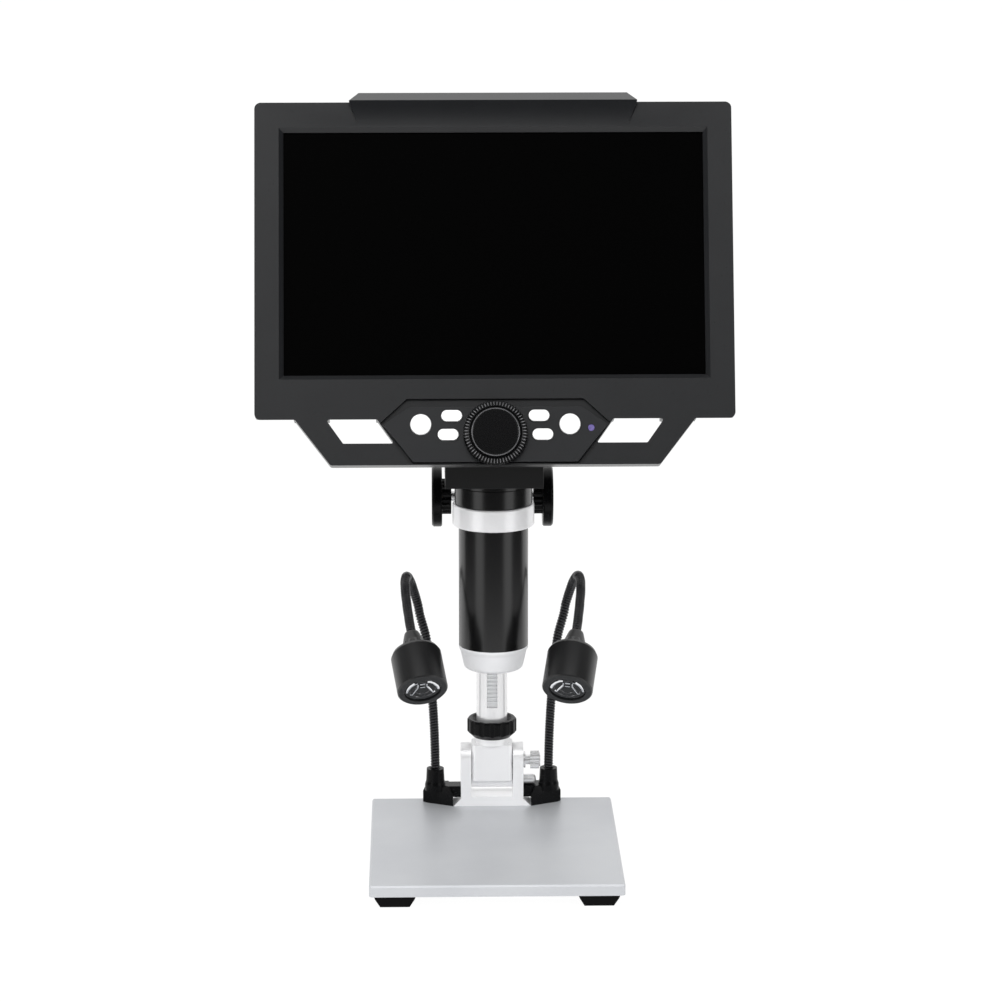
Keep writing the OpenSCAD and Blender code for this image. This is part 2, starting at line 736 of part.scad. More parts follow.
// Disc knob with a ribbed boss on its inner side, on the right
module height_knob() {
    difference() {
        union() {
            translate([knob_x, 0, 0]) rotate([0, 90, 0]) linear_extrude(boss_l + 0.1)
                knurl(boss_dia / 2, boss_dia / 2 - 0.7, 20);
            translate([knob_x + boss_l, 0, 0]) rotate([0, 90, 0]) rotate_extrude()
                polygon([[0, 0], [knob_dia / 2 - 0.6, 0], [knob_dia / 2, 0.6],
                    [knob_dia / 2, knob_t - 0.9], [knob_dia / 2 - 0.9, knob_t],
                    [knob_dia / 2 - 3, knob_t], [knob_dia / 2 - 4, knob_t - 0.8], [0, knob_t - 0.8]]);
        }
        x_rod(0, knob_x + boss_l + knob_t - 1.5, axle_dia / 2 + 0.01);
    }
}

module left_height_knob() {
    color("#18191b") translate([0, axle_y, axle_z]) mirror([1, 0, 0]) height_knob();
}

module right_height_knob() {
    color("#18191b") translate([0, axle_y, axle_z]) height_knob();
}

// ---- Camera tube ----

module camera_tube() {
    color("#202124")
    translate([0, tube_y, tube_low_z]) difference() {
        cylinder(h = tube_top_z - tube_low_z, r = tube_dia / 2);
        translate([0, 0, -1]) cylinder(h = tube_top_z - tube_low_z + 2, r = tube_in_r);
    }
}

module tube_collar() {
    color("#202124")
    translate([0, tube_y, collar_z]) difference() {
        rotate_extrude() polygon([[0, 0], [collar_r - 0.4, 0], [collar_r, 0.4],
            [collar_r, collar_h - 2.6], [collar_r - 0.6, collar_h - 1.9],
            [collar_lip_r, collar_h - 1.9], [collar_lip_r, collar_h], [0, collar_h]]);
        translate([0, 0, -1]) cylinder(h = collar_h + 2, r = tube_dia / 2 + 0.02);
    }
}

// Ring nut that clamps the tube to the neck's floor from inside
module tube_nut() {
    color("dimgray")
    translate([0, tube_y, neck_z + neck_floor_t]) difference() {
        cylinder(h = 3, r = tube_dia / 2 + 2.2);
        translate([0, 0, -1]) cylinder(h = 5, r = tube_dia / 2 + 0.02);
    }
}

// White nose with a rounded lower edge and an inner seat for the window
module nose_ring() {
    color("whitesmoke")
    translate([0, tube_y, nose_z]) difference() {
        rotate_extrude() polygon(concat(
            [[0, 0], [nose_low_dia / 2 - nose_round, 0]],
            [for (i = [0:5]) let (a = -90 + 16 * i)
                [nose_low_dia / 2, nose_round] + nose_round * [cos(a) - 1, sin(a)]],
            [[tube_dia / 2 - 0.8, nose_h - 3], [tube_dia / 2, nose_h - 1.2], [tube_dia / 2, nose_h],
                [tube_in_r - 0.02, nose_h], [tube_in_r - 0.02, nose_h + 3], [0, nose_h + 3]]));
        translate([0, 0, -1]) cylinder(h = nose_h + 5, r = nose_hole_r);
        translate([0, 0, 3.5]) cylinder(h = nose_h, r = window_r);
    }
}

module nose_window() {
    color("lightblue", 0.5)
    translate([0, tube_y, nose_z + 3.5]) cylinder(h = 1.2, r = window_r - 0.02);
}

// Ring board on the nose's rim with eight small lamps under it
module ring_light() {
    color("whitesmoke")
    translate([0, tube_y, tube_low_z + 3]) {
        difference() {
            cylinder(h = 1.4, r = tube_in_r - 0.02);
            translate([0, 0, -1]) cylinder(h = 4, r = optic_r);
        }
        for (i = [0:7]) rotate(22.5 + 45 * i) translate([ring_lamp_out, 0, -1.3])
            cylinder(h = 1.4, r = 1.5);
    }
}

// Two polished rods that guide the lens carrier
module guide_rods() {
    color("silver")
    for (side = [-1, 1]) translate([0, tube_y + side * rod_out, tube_low_z + 4.4])
        cylinder(h = board_z - tube_low_z - 4.4, r = rod_r);
}

// Board with the image sensor under its middle and a notch for the lens rack
module camera_board() {
    color("darkgreen")
    translate([0, tube_y, board_z]) {
        difference() {
            cylinder(h = 1.6, r = tube_in_r - running);
            translate([lens_rack_x - 1.2, pinion_gap - lens_rack_w / 2 - 0.8, -1])
                cube([lens_rack_t + 3, lens_rack_w + 1.6, 4]);
        }
        translate([-4, -4, -1.4]) cube([8, 8, 1.5]);
        translate([-9, -8, 1.5]) cube([7, 10, 1.3]);
    }
}

// Lens carrier with its guide holes and the slanted rack that the focus pinion drives
module lens_barrel() {
    color("dimgray")
    difference() {
        union() {
            translate([0, tube_y, barrel_z]) cylinder(h = barrel_l, r = tube_in_r - 0.55);
            lens_rack_bar();
        }
        translate([0, tube_y, barrel_z - 1]) cylinder(h = barrel_l + 2, r = optic_r - 1);
        for (z = [barrel_z - 1, barrel_z + barrel_l - 4])
            translate([0, tube_y, z]) cylinder(h = 5, r = optic_r);
        for (side = [-1, 1]) translate([0, tube_y + side * rod_out, barrel_z - 1])
            cylinder(h = barrel_l + 2, r = rod_r + running);
    }
}

// Upright bar with teeth cut square to the focus shaft
module lens_rack_bar() {
    low = barrel_z + barrel_l - 3;
    teeth_half = lens_travel + rack_pitch;
    intersection() {
        translate([0, tube_y + pinion_gap - lens_rack_w / 2, low])
            cube([lens_rack_x + lens_rack_t, lens_rack_w, pinion_z + teeth_half + 1 - low]);
        union() {
            translate([0, tube_y + pinion_gap, pinion_z]) rotate([90 - face_tilt, 0, 0])
                translate([pitch_r, 0, -lens_rack_w]) linear_extrude(2 * lens_rack_w)
                    polygon(rack_outline(-teeth_half, teeth_half, dedendum + lens_rack_t + 1));
            translate([lens_rack_x, tube_y, low])
                cube([lens_rack_t, 2 * pinion_gap, pinion_z + teeth_half + 1 - low]);
        }
    }
}

// Objective lenses at both ends of the carrier
module lens_glass() {
    color("lightblue", 0.5)
    for (end = [0, 1]) translate([0, tube_y, barrel_z + (end == 0 ? 0.6 : barrel_l - 4)])
        intersection() {
            cylinder(h = 3.4, r = optic_r - 0.02);
            translate([0, 0, 1.7]) rotate_extrude() polygon(concat(
                [for (i = [0:8]) [optic_r * i / 8, -1.7 + 0.9 * pow(i / 8, 2)]],
                [for (i = [8:-1:0]) [optic_r * i / 8, 1.7 - 0.9 * pow(i / 8, 2)]]));
        }
}

// ---- Display head ----

// Turns a place in the head's frame, up the face and into it, into the stand's [y, z]
function at_face(up, out) = [
    face_y + up * sin(face_tilt) - out * cos(face_tilt),
    face_z + up * cos(face_tilt) + out * sin(face_tilt)];

// Hollow neck behind the controls, from the tube up to the rear cover
module neck_housing() {
    low = -housing_h / 2;
    w = 2.5;
    color("#1c1d1f")
    difference() {
        intersection() {
            side_profile([
                [neck_front_y, neck_z], [neck_rear_y - 1.5, neck_z], [neck_rear_y, neck_z + 1.5],
                [neck_rear_y, neck_rear_z], at_face(-28, cover_back), at_face(low, cover_back),
                at_face(low, -frame_d), at_face(frame_low, -frame_d),
                [neck_front_y, neck_step_z]], neck_w);
            translate([0, 0, neck_z - 1]) linear_extrude(housing_h) polygon([
                [-neck_w / 2, face_y - housing_h], [neck_w / 2, face_y - housing_h],
                [neck_w / 2, neck_rear_y - neck_chamfer], [neck_w / 2 - neck_chamfer, neck_rear_y],
                [neck_chamfer - neck_w / 2, neck_rear_y], [-neck_w / 2, neck_rear_y - neck_chamfer]]);
        }
        difference() {
            side_profile([
                [neck_front_y + w, neck_z + neck_floor_t], [neck_rear_y - w, neck_z + neck_floor_t],
                [neck_rear_y - w, neck_rear_z - 1.2], at_face(-28 - 2 * w, cover_back - 1),
                at_face(-28 - 2 * w, cover_back + 1), at_face(low + w, cover_back + 1),
                at_face(low - w, cover_back - w), at_face(low - w, -frame_d + 1),
                at_face(frame_low + 1.5 * w, -frame_d + 1), at_face(frame_low + 1.5 * w, -frame_d - 1),
                [neck_front_y + w, neck_step_z + 0.4 * w]], neck_w - 2 * w);
            on_face() translate([-neck_w / 2, dial_up - 9, -34]) cube([neck_w, 18, 4]);
        }
        on_face() translate([0, dial_up, -40]) cylinder(h = 20, r = shaft_r + running);
        translate([0, tube_y, neck_z - 1]) cylinder(h = 5, r = tube_dia / 2 + 0.02);
    }
}

// Finger window in an arm, on the right
function window_outline() =
    let (lean = 8)
    rounded([[window_in_x, 0.05 - housing_h / 2], [window_out_x, 0.05 - housing_h / 2],
        [window_out_x - lean, window_low], [window_in_x - lean, window_low]], 0.8);

// Half of the control plate's outline, widened by a margin
function plate_half(m, top) = [
    [38.2 + m, frame_low + 1.2 - m / 4], [52.2 + m, frame_low + 18.8], [40 + m / 2, top]];

// Front shell: bezel, brow, arms with finger windows and the recess for the controls
module front_shell() {
    color("#2b2c2f")
    on_face() difference() {
        union() {
            translate([0, 0, -shell_d]) linear_extrude(shell_d)
                rounded_rect(housing_w, housing_h, 3);
            translate([0, 0, -frame_d]) linear_extrude(frame_d)
                polygon(rounded(mirrored([[frame_low_x, frame_low],
                    [frame_top_x + 3, -housing_h / 2 + 4]]), 1.6));
            brow();
        }
        translate([0, screen_up, -shell_d - 1]) linear_extrude(shell_d - 3.2 + 1)
            rounded_rect(screen_w + 9, screen_h + 13, 1);
        translate([0, screen_up, -5]) linear_extrude(10) square([screen_w, screen_h], center = true);
        screen_bevel();
        for (side = [0, 1]) mirror([side, 0, 0]) translate([0, 0, -shell_d - 1])
            linear_extrude(2 * shell_d) polygon(window_outline());
        translate([0, 0, -recess_d]) linear_extrude(recess_d + 3)
            polygon(rounded(concat(mirrored(plate_half(2.4, recess_top))), 1));
        panel_cavity();
        translate([0, dial_up, -frame_d - 1]) cylinder(h = frame_d, r = bush_out_r);
        for (p = cover_screw_places()) translate([p.x, p.y, -shell_d - 1]) cylinder(h = 8, r = 1.5);
        under_slope(window_in_x + 0.5, window_out_x - 1.6, 0);
        under_slope(frame_top_x + 0.4, housing_w, 0);
    }
}

// Wedges on both sides that slope the housing's underside up towards its back
module under_slope(x0, x1, wall) {
    low = wall + 0.05 - housing_h / 2;
    out = -housing_h / 2 - 0.3;
    for (side = [0, 1]) mirror([side, 0, 0]) translate([x0, 0, 0]) rotate([90, 0, 90])
        linear_extrude(x1 - x0) polygon([[low - under_rise, 1],
            [low - under_rise * (cover_back - 1), cover_back - 1], [out, cover_back - 1], [out, 1]]);
}

// Sloping inner edge of the bezel
module screen_bevel() {
    translate([0, screen_up, 0]) hull() {
        translate([0, 0, -2.2]) linear_extrude(0.01) square([screen_w, screen_h], center = true);
        translate([0, 0, 0.1]) linear_extrude(0.01)
            square([screen_w + 4.4, screen_h + 4.4], center = true);
    }
}

// Raised brow in the middle of the top edge
module brow() {
    top = housing_h / 2;
    half = housing_w / 2 - brow_in;
    intersection() {
        translate([-housing_w / 2, 0, 0]) rotate([90, 0, 90]) linear_extrude(housing_w)
            polygon([[top - 10.5, -0.5], [top - 10.5, 0], [top + 0.2, 4], [top + 5.6, -5],
                [top + 5.6, -shell_d], [top - 3, -shell_d]]);
        translate([0, 0, -shell_d]) linear_extrude(shell_d + 5) polygon(mirrored([
            [half - 4.4, top - 11], [half, top], [half - 4.4, top + 5.6]]));
    }
}

// Half of the outline of the space behind the control plate, shrunk by a gap
function panel_half(gap) = [
    [35 - gap, frame_low + 3.4 + gap], [47 - gap, frame_low + 15.5 + gap / 2],
    [47 - gap, -housing_h / 2 - gap / 2], [38.5 - gap, -housing_h / 2 + 5.1 - gap]];

// Space behind the control plate, with a post left round the dial's bush
module panel_cavity() {
    difference() {
        translate([0, 0, -frame_d - 1]) linear_extrude(frame_d - 1)
            polygon(mirrored(panel_half(0)));
        translate([0, dial_up, -frame_d - 2]) cylinder(h = frame_d + 2, r = bush_out_r + 2);
    }
}

function cover_screw_places() = [for (x = [-1, 1], y = [-1, 0, 1])
    [x * (housing_w / 2 - 5), y * (housing_h / 2 - 9.5)]];

// Outer form of the rear cover, or its hollow when shrunk by a wall
module cover_form(wall) {
    w = housing_w / 2 - wall;
    h = housing_h / 2 - wall;
    back = cover_back + wall;
    rim = -shell_d - 4;
    difference() {
        intersection() {
            translate([0, 0, back]) linear_extrude(-shell_d - back + (wall > 0 ? 1 : 0))
                rounded_rect(2 * w, 2 * h, 3);
            translate([0, h + 1, 0]) rotate([90, 0, 0]) linear_extrude(2 * h + 2)
                polygon(mirrored([[w - cover_edge, back], [w, rim], [w, 1]]));
            translate([-w - 1, 0, 0]) rotate([90, 0, 90]) linear_extrude(2 * w + 2)
                polygon([[cover_edge - h, back], [h - cover_edge, back], [h, rim], [h, 1], [-h, 1],
                    [-h, back]]);
        }
        under_slope(neck_w / 2 + 4 - wall, housing_w, wall);
    }
}

// Rear cover: a shell with bevelled edges, screw posts and cooling slots
module rear_cover() {
    color("#232426")
    on_face() difference() {
        union() {
            difference() {
                cover_form(0);
                cover_form(2.4);
            }
            intersection() {
                cover_form(0);
                for (p = cover_screw_places()) translate([p.x, p.y, cover_back])
                    cylinder(h = cover_d, r = 4);
            }
        }
        for (p = cover_screw_places()) translate([p.x, p.y, cover_back - 1]) {
            cylinder(h = cover_d + 2, r = 1.7);
            cylinder(h = cover_d - 2, r = 3.3);
        }
        for (side = [-1, 1], i = [0:6]) translate([side * 62 - 12, 8 + 5 * i, cover_back - 1])
            cube([24, 2, 4]);
        translate([-neck_w / 2 + 5, -housing_h / 2 - 1, cover_back + 3]) cube([neck_w - 10, 5, 10]);
    }
}

module display_glass() {
    color("black")
    on_face() translate([0, screen_up, -4.4]) linear_extrude(1.2)
        rounded_rect(screen_w + 9 - 2 * slack, screen_h + 13 - 2 * slack, 1);
}

module lcd_panel() {
    color("#101114")
    on_face() translate([0, screen_up, -9.6]) linear_extrude(5.2)
        rounded_rect(screen_w + 9 - 2 * slack, screen_h + 13 - 2 * slack, 1);
}

// Main board behind the display, with its shielded processor and connectors
module main_board() {
    color("darkgreen")
    on_face() translate([0, 12, -shell_d]) {
        translate([0, 0, -1.2]) linear_extrude(1.6) rounded_rect(150, 70, 2);
        translate([-20, -10, -3.4]) cube([24, 24, 2.3]);
        translate([30, 8, -4.2]) cube([14, 9, 3.1]);
        translate([-60, -28, -4.2]) cube([18, 6, 3.1]);
        for (x = [-68, 68], y = [-28, 28]) translate([x, y, 0.3]) cylinder(h = 2.1, r = 3);
    }
}

// Flat rechargeable pack against the inside of the rear cover
module battery_pack() {
    color("slategray")
    on_face() translate([0, 12, cover_back + 2.4]) linear_extrude(8) rounded_rect(96, 54, 2.5);
}

module cover_screws() {
    color("#18191b")
    on_face() for (p = cover_screw_places()) translate([p.x, p.y, -shell_d - 5]) {
        difference() {
            cylinder(h = 2, r = 3);
            translate([0, 0, -0.5]) cylinder(h = 1.5, r = 1.3, $fn = 6);
        }
        translate([0, 0, 1.9]) cylinder(h = 9, r = 1.48);
    }
}

// ---- Controls ----

module pill_shape(m) {
    r = pill_h / 2 + m;
    for (side = [-1, 1]) translate([side * (pill_l - pill_h) / 2, 0]) circle(r);
    square([pill_l - pill_h, 2 * r], center = true);
}

// Raised six-sided plate round the buttons and the dial
module control_plate() {
    color("#38393c")
    on_face() difference() {
        translate([0, 0, -recess_d]) linear_extrude(recess_d + plate_rise)
            polygon(rounded(mirrored(plate_half(0, -housing_h / 2 + 5.6)), 0.8));
        translate([0, dial_up, -recess_d - 1]) cylinder(h = 5, r = bush_out_r + 0.3);
        for (side = [-1, 1]) {
            translate([side * round_x, round_up, -recess_d - 1])
                cylinder(h = 5, r = round_button_dia / 2 + slack);
            translate([side * pill_in_x, pill_high, -recess_d - 1])
                linear_extrude(5) pill_shape(slack);
            translate([side * pill_out_x, pill_low, -recess_d - 1])
                linear_extrude(5) pill_shape(slack);
        }
        translate([indicator_at.x, indicator_at.y, -recess_d - 1]) cylinder(h = 5, r = 1.6);
    }
}

// Button with a cap, a flange behind the plate and a stem to its switch
module round_button(x) {
    color("white")
    on_face() translate([x, round_up, 0]) {
        translate([0, 0, -recess_d - 1]) cylinder(h = 1, r = round_button_dia / 2 + 0.9);
        rotate_extrude() polygon([[0, -recess_d - 0.5], [round_button_dia / 2, -recess_d - 0.5],
            [round_button_dia / 2, plate_rise + 0.7], [round_button_dia / 2 - 0.5, plate_rise + 1.2],
            [0, plate_rise + 1.2]]);
        translate([0, 0, stem_low]) cylinder(h = -stem_low - recess_d - 0.5, r = 1.5);
    }
}

module pill_button(x, up) {
    color("white")
    on_face() translate([x, up, 0]) {
        translate([0, 0, -recess_d - 1]) linear_extrude(1) pill_shape(0.7);
        translate([0, 0, -recess_d - 0.5]) linear_extrude(recess_d + 0.5 + plate_rise + 1.2)
            pill_shape(0);
        translate([0, 0, stem_low]) cylinder(h = -stem_low - recess_d - 0.5, r = 1.5);
    }
}

module power_button() round_button(-round_x);
module ok_button() round_button(round_x);
module menu_button() pill_button(-pill_in_x, pill_high);
module up_button() pill_button(pill_in_x, pill_high);
module down_button() pill_button(-pill_out_x, pill_low);
module snap_button() pill_button(pill_out_x, pill_low);

// Board with one small switch under every button
module switch_board() {
    color("darkgreen")
    on_face() difference() {
        union() {
            translate([0, 0, board_face - 1.6]) linear_extrude(1.6)
                polygon(mirrored(panel_half(0.4)));
            for (side = [-1, 1]) {
                translate([side * round_x, round_up, board_face - 0.1]) switch_body();
                translate([side * pill_in_x, pill_high, board_face - 0.1]) switch_body();
                translate([side * pill_out_x, pill_low, board_face - 0.1]) switch_body();
            }
        }
        translate([0, dial_up, -frame_d]) cylinder(h = frame_d, r = bush_out_r + 2.3);
    }
}

module switch_body() {
    translate([-2, -2, 0]) cube([4, 4, 0.7]);
    cylinder(h = switch_h + 0.1, r = 1.2);
}

module indicator_lens() {
    color("mediumpurple", 0.7)
    on_face() translate([indicator_at.x, indicator_at.y, board_face])
        cylinder(h = plate_rise + 0.2 - board_face, r = 1.5);
}

// Plain bush in which the focus shaft turns
module dial_bush() {
    color("goldenrod")
    on_face() translate([0, dial_up, -frame_d]) difference() {
        cylinder(h = frame_d + 0.2, r = bush_out_r - 0.01);
        translate([0, 0, -1]) cylinder(h = frame_d + 3, r = shaft_r + running);
    }
}

// Focus dial: a plain disc with a raised rim inside a ring whose sloping edge is fluted
module focus_dial() {
    base = plate_rise + 0.3;
    r = dial_dia / 2;
    color("#1e1f21")
    on_face() translate([0, dial_up, 0]) difference() {
        translate([0, 0, base]) rotate_extrude() polygon([[0, 0], [r, 0], [r, dial_h - 2.6],
            [r - 0.5, dial_h - 1.9], [r - 2.7, dial_h - 0.9], [r - 3.2, dial_h - 1.3],
            [r - 3.5, dial_h - 1.3], [r - 3.8, dial_h - 0.2], [r - 4.3, dial_h],
            [r - 4.8, dial_h - 0.4], [0, dial_h - 0.4]]);
        for (i = [0:dial_flutes - 1]) rotate(360 / dial_flutes * i)
            translate([0, flute_w / 2, base]) rotate([90, 0, 0]) linear_extrude(flute_w)
                polygon([[r - 2.1, dial_h], [r - 2.1, dial_h - 1.4], [r - 0.5, dial_h - 2.4],
                    [r - 0.5, -1], [r + 1, -1], [r + 1, dial_h]]);
        translate([0, 0, -1]) cylinder(h = dial_h - 0.6, r = shaft_r + 0.01);
    }
}

// Shaft from the dial to the pinion that drives the lens rack
module focus_shaft() {
    color("silver")
    on_face() translate([0, dial_up, 0]) {
        translate([0, 0, -pinion_depth - pinion_rear / 2 - 1])
            cylinder(h = pinion_depth + pinion_rear / 2 + 1 + dial_h - 1.7, r = shaft_r);
        translate([0, 0, -pinion_depth - pinion_rear / 2]) linear_extrude(pinion_rear)
            polygon(pinion_outline());
    }
}

// ---- Lamps ----

function smooth(t) = t * t * (3 - 2 * t);

// Sideways swing of the gooseneck as it turns over, largest just past the top
function bend_x(a) = bend_x0 + (lamp_bend_x - bend_x0) * sin(0.81 * a);

// Middle line of the right gooseneck, u from 0 to 1: rise, lean out, bend over, run to the lamp
function neck_raw(u) =
    let (l1 = bend_z - lean_in_l - neck_start_z, l2 = lean_in_l, l3 = neck_bend_r * bend_turn * PI / 180)
    let (s = u * (l1 + l2 + l3 + run_l))
    s < l1 ? [lamp_foot_x + 4 * pow(s / l1, 2), column_y, neck_start_z + s] :
    s < l1 + l2 ? let (t = (s - l1) / l2)
        [rise_end.x + (bend_x0 - rise_end.x) * (0.4 * t + 0.6 * smooth(t)), column_y, rise_end.z + t * l2] :
    s < l1 + l2 + l3 ? let (a = (s - l1 - l2) / l3 * bend_turn)
        [bend_x(a), column_y - neck_bend_r * (1 - cos(a)),
            bend_z + neck_bend_r * sin(a)] :
    let (t = s - l1 - l2 - l3)
        [bend_x(bend_turn), column_y - neck_bend_r * (1 - cos(bend_turn)),
            bend_z + neck_bend_r * sin(bend_turn)]
            + t * [lamp_axis.x * (0.55 + 0.225 * t / run_l), lamp_axis.y, lamp_axis.z];

neck_end = neck_raw(1);

function neck_direction(u) = unit(neck_raw(min(u + 0.002, 1)) - neck_raw(max(u - 0.002, 0)));

// One ring of points round the middle line
function neck_ring(u, r) =
    let (d = neck_direction(u), side = unit(cross(d, [0, 0.37, 0.93])), up = cross(side, d))
    [for (k = [0:7]) neck_raw(u) + r * (cos(45 * k) * side + sin(45 * k) * up)];

// Ribbed hose: each rib has a full ring and a waist
module gooseneck() {
    rings = 2 * neck_ribs;
    straight = neck_dia / 250;
    outer = [for (i = [0:rings]) each neck_ring(i / rings,
        i / rings < straight || i / rings > 1 - straight || i % 2 == 0 ? neck_r : neck_r - 0.35)];
    inner = [for (i = [0:neck_bore_steps]) each neck_ring(i / neck_bore_steps, 1.1)];
    a = len(outer);
    wall = concat(
        [for (i = [0:rings - 1], k = [0:7]) let (p = 8 * i + k, q = 8 * i + (k + 1) % 8)
            each [[p, q, p + 8], [q, q + 8, p + 8]]],
        [for (i = [0:neck_bore_steps - 1], k = [0:7]) let (p = a + 8 * i + k, q = a + 8 * i + (k + 1) % 8)
            each [[p, p + 8, q], [q, p + 8, q + 8]]],
        [for (k = [0:7]) let (q = (k + 1) % 8) each [[k, a + k, q], [q, a + k, a + q]]],
        [for (k = [0:7]) let (q = (k + 1) % 8, e = 8 * rings, f = a + 8 * neck_bore_steps)
            each [[e + k, e + q, f + k], [e + q, f + q, f + k]]]);
    polyhedron(points = concat(outer, inner), faces = wall);
}

module right_gooseneck() { color("#18191b") gooseneck(); }
module left_gooseneck() { color("#18191b") mirror([1, 0, 0]) gooseneck(); }

// Puts a shape that runs along +Z onto the lamp's axis, with z = 0 at the neck's end
module at_lamp() {
    translate(neck_end)
        rotate([0, acos(lamp_axis.z), atan2(lamp_axis.y, lamp_axis.x)]) children();
}

// Lamp head: ribbed cone, bevelled shoulder and cup
module lamp_head() {
    at_lamp() difference() {
        union() {
            translate([0, 0, -1.5]) rotate_extrude() polygon([
                [0, 0], [neck_r + 1.1, 0], [neck_r + 1.5, 1], [lamp_dia / 2 - 5.6, lamp_cone_l + 1.5],
                [lamp_dia / 2 - 4, lamp_cone_l + 1.5], [lamp_dia / 2 - 1, lamp_cone_l + 2.9],
                [lamp_dia / 2, lamp_cone_l + 1.5 + lamp_shoulder],
                [lamp_dia / 2, lamp_face + 0.9], [lamp_dia / 2 - 0.6, lamp_face + 1.5],
                [0, lamp_face + 1.5]]);
            for (i = [0:11]) rotate(30 * i) translate([0, 0.5, 0]) rotate([90, 0, 0])
                linear_extrude(1) polygon([[1, 1], [neck_r + 1, 1],
                    [lamp_dia / 2 - 4.4, lamp_cone_l + 0.2], [1, lamp_cone_l + 0.2]]);
        }
        translate([0, 0, lamp_cone_l + lamp_shoulder + 4]) cylinder(h = lamp_l, r = lamp_cup_r);
        translate([0, 0, -2]) cylinder(h = 8, r = neck_r + 0.15);
        translate([0, 0, 5]) cylinder(h = lamp_cone_l + 4, r = 1.5);
    }
}

module right_lamp_head() { color("#1c1d1f") lamp_head(); }
module left_lamp_head() { color("#1c1d1f") mirror([1, 0, 0]) lamp_head(); }

// Bright reflector cup with its light source and front lens
module lamp_optic() {
    at_lamp() {
        depth = lamp_l - 4;
        translate([0, 0, lamp_face - depth]) difference() {
            cylinder(h = depth - 1.2, r = lamp_cup_r - 0.02);
            translate([0, 0, 2.6]) rotate_extrude() polygon(concat(
                [[0, 0]], [for (i = [0:8]) [2.4 + (lamp_cup_r - 3.4) * sqrt(i / 8), (depth - 3.7) * i / 8]],
                [[0, depth - 3.7]]));
        }
        translate([0, 0, lamp_face - depth + 2.5]) cylinder(h = 1.6, r = 1.8);
    }
}

module right_lamp_optic() { color("silver") lamp_optic(); }
module left_lamp_optic() { color("silver") mirror([1, 0, 0]) lamp_optic(); }

// ---- Assembly ----

base_plate();
rubber_feet();
hinge_bracket();
bracket_screws();
pivot_bolt();
lamp_feet();
hinge_block();
lock_screw();
column_tube();
height_rack();
column_cap();
collet_nut();
carriage_body();
axle_bushes();
carriage_gibs();
ring_holder();
holder_screws();
drag_screw();
height_axle();
left_height_knob();
right_height_knob();
camera_tube();
tube_collar();
tube_nut();
nose_ring();
nose_window();
ring_light();
guide_rods();
camera_board();
lens_barrel();
lens_glass();
neck_housing();
front_shell();
rear_cover();
display_glass();
lcd_panel();
main_board();
battery_pack();
cover_screws();
control_plate();
switch_board();
indicator_lens();
dial_bush();
focus_dial();
focus_shaft();
power_button();
menu_button();
up_button();
down_button();
snap_button();
ok_button();
left_gooseneck();
right_gooseneck();
left_lamp_head();
right_lamp_head();
left_lamp_optic();
right_lamp_optic();
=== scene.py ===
import math

import bpy
from mathutils import Matrix, Vector


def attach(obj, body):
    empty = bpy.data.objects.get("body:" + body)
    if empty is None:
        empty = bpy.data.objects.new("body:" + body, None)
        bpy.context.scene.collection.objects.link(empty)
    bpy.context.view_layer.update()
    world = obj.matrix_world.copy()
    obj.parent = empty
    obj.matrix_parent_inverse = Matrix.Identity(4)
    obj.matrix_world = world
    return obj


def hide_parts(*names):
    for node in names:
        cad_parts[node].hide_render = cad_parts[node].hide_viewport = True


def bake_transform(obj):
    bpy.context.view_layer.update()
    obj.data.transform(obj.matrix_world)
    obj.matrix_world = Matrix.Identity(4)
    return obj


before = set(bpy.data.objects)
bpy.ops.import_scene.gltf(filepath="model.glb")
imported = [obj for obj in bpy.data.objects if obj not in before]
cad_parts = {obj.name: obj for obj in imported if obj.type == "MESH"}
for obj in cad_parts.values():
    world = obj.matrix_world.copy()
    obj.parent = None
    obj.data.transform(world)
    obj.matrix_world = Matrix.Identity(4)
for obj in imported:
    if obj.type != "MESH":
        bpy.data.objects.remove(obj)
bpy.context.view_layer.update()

# ---- Camera ----
# A long lens 1.75 m away and half a metre above the desk, a touch left of the middle,
# so that the display looks square on and the base plate is seen from a little above.
CAMERA_PLACE = Vector((-0.03467, -1.68394, 0.57089))
CAMERA_LOOK = Vector((0.0219, 0.97397, -0.22562))
CAMERA_LENS = 130.87

camera = bpy.data.objects.new("camera", bpy.data.cameras.new("camera"))
bpy.context.scene.collection.objects.link(camera)
camera.location = CAMERA_PLACE
camera.rotation_euler = CAMERA_LOOK.to_track_quat("-Z", "Y").to_euler()
camera.data.lens = CAMERA_LENS
camera.data.sensor_width = 36
camera.data.clip_end = 30
bpy.context.scene.camera = camera
bpy.context.scene.view_settings.view_transform = "Standard"


# ---- Studio ----
# A white sweep lit by three softboxes: a broad one over the camera, one from each side.
# Metal and glass see a white room, broken by three dark flags that draw their edges.
def linear(code):
    """Turns an sRGB hex colour into the linear one that a shader works in."""
    parts = [int(code[i:i + 2], 16) / 255 for i in (0, 2, 4)]
    return [p / 12.92 if p <= 0.04045 else ((p + 0.055) / 1.055) ** 2.4 for p in parts] + [1]


def add_node(tree, kind, inputs=(), **settings):
    """Adds one node: settings are its fields, inputs its sockets' values or what links to them."""
    node = tree.nodes.new("ShaderNode" + kind)
    for field, value in settings.items():
        setattr(node, field, value)
    for socket, value in dict(inputs).items():
        if isinstance(value, bpy.types.NodeSocket):
            tree.links.new(value, node.inputs[socket])
        else:
            node.inputs[socket].default_value = value
    return node


def seen_rays(tree):
    """1 where a ray comes from the camera or off a glossy surface, else 0."""
    rays = add_node(tree, "LightPath")
    either = add_node(tree, "Math", {0: rays.outputs["Is Camera Ray"],
                                     1: rays.outputs["Is Glossy Ray"]}, operation="MAXIMUM")
    return rays, either.outputs[0]


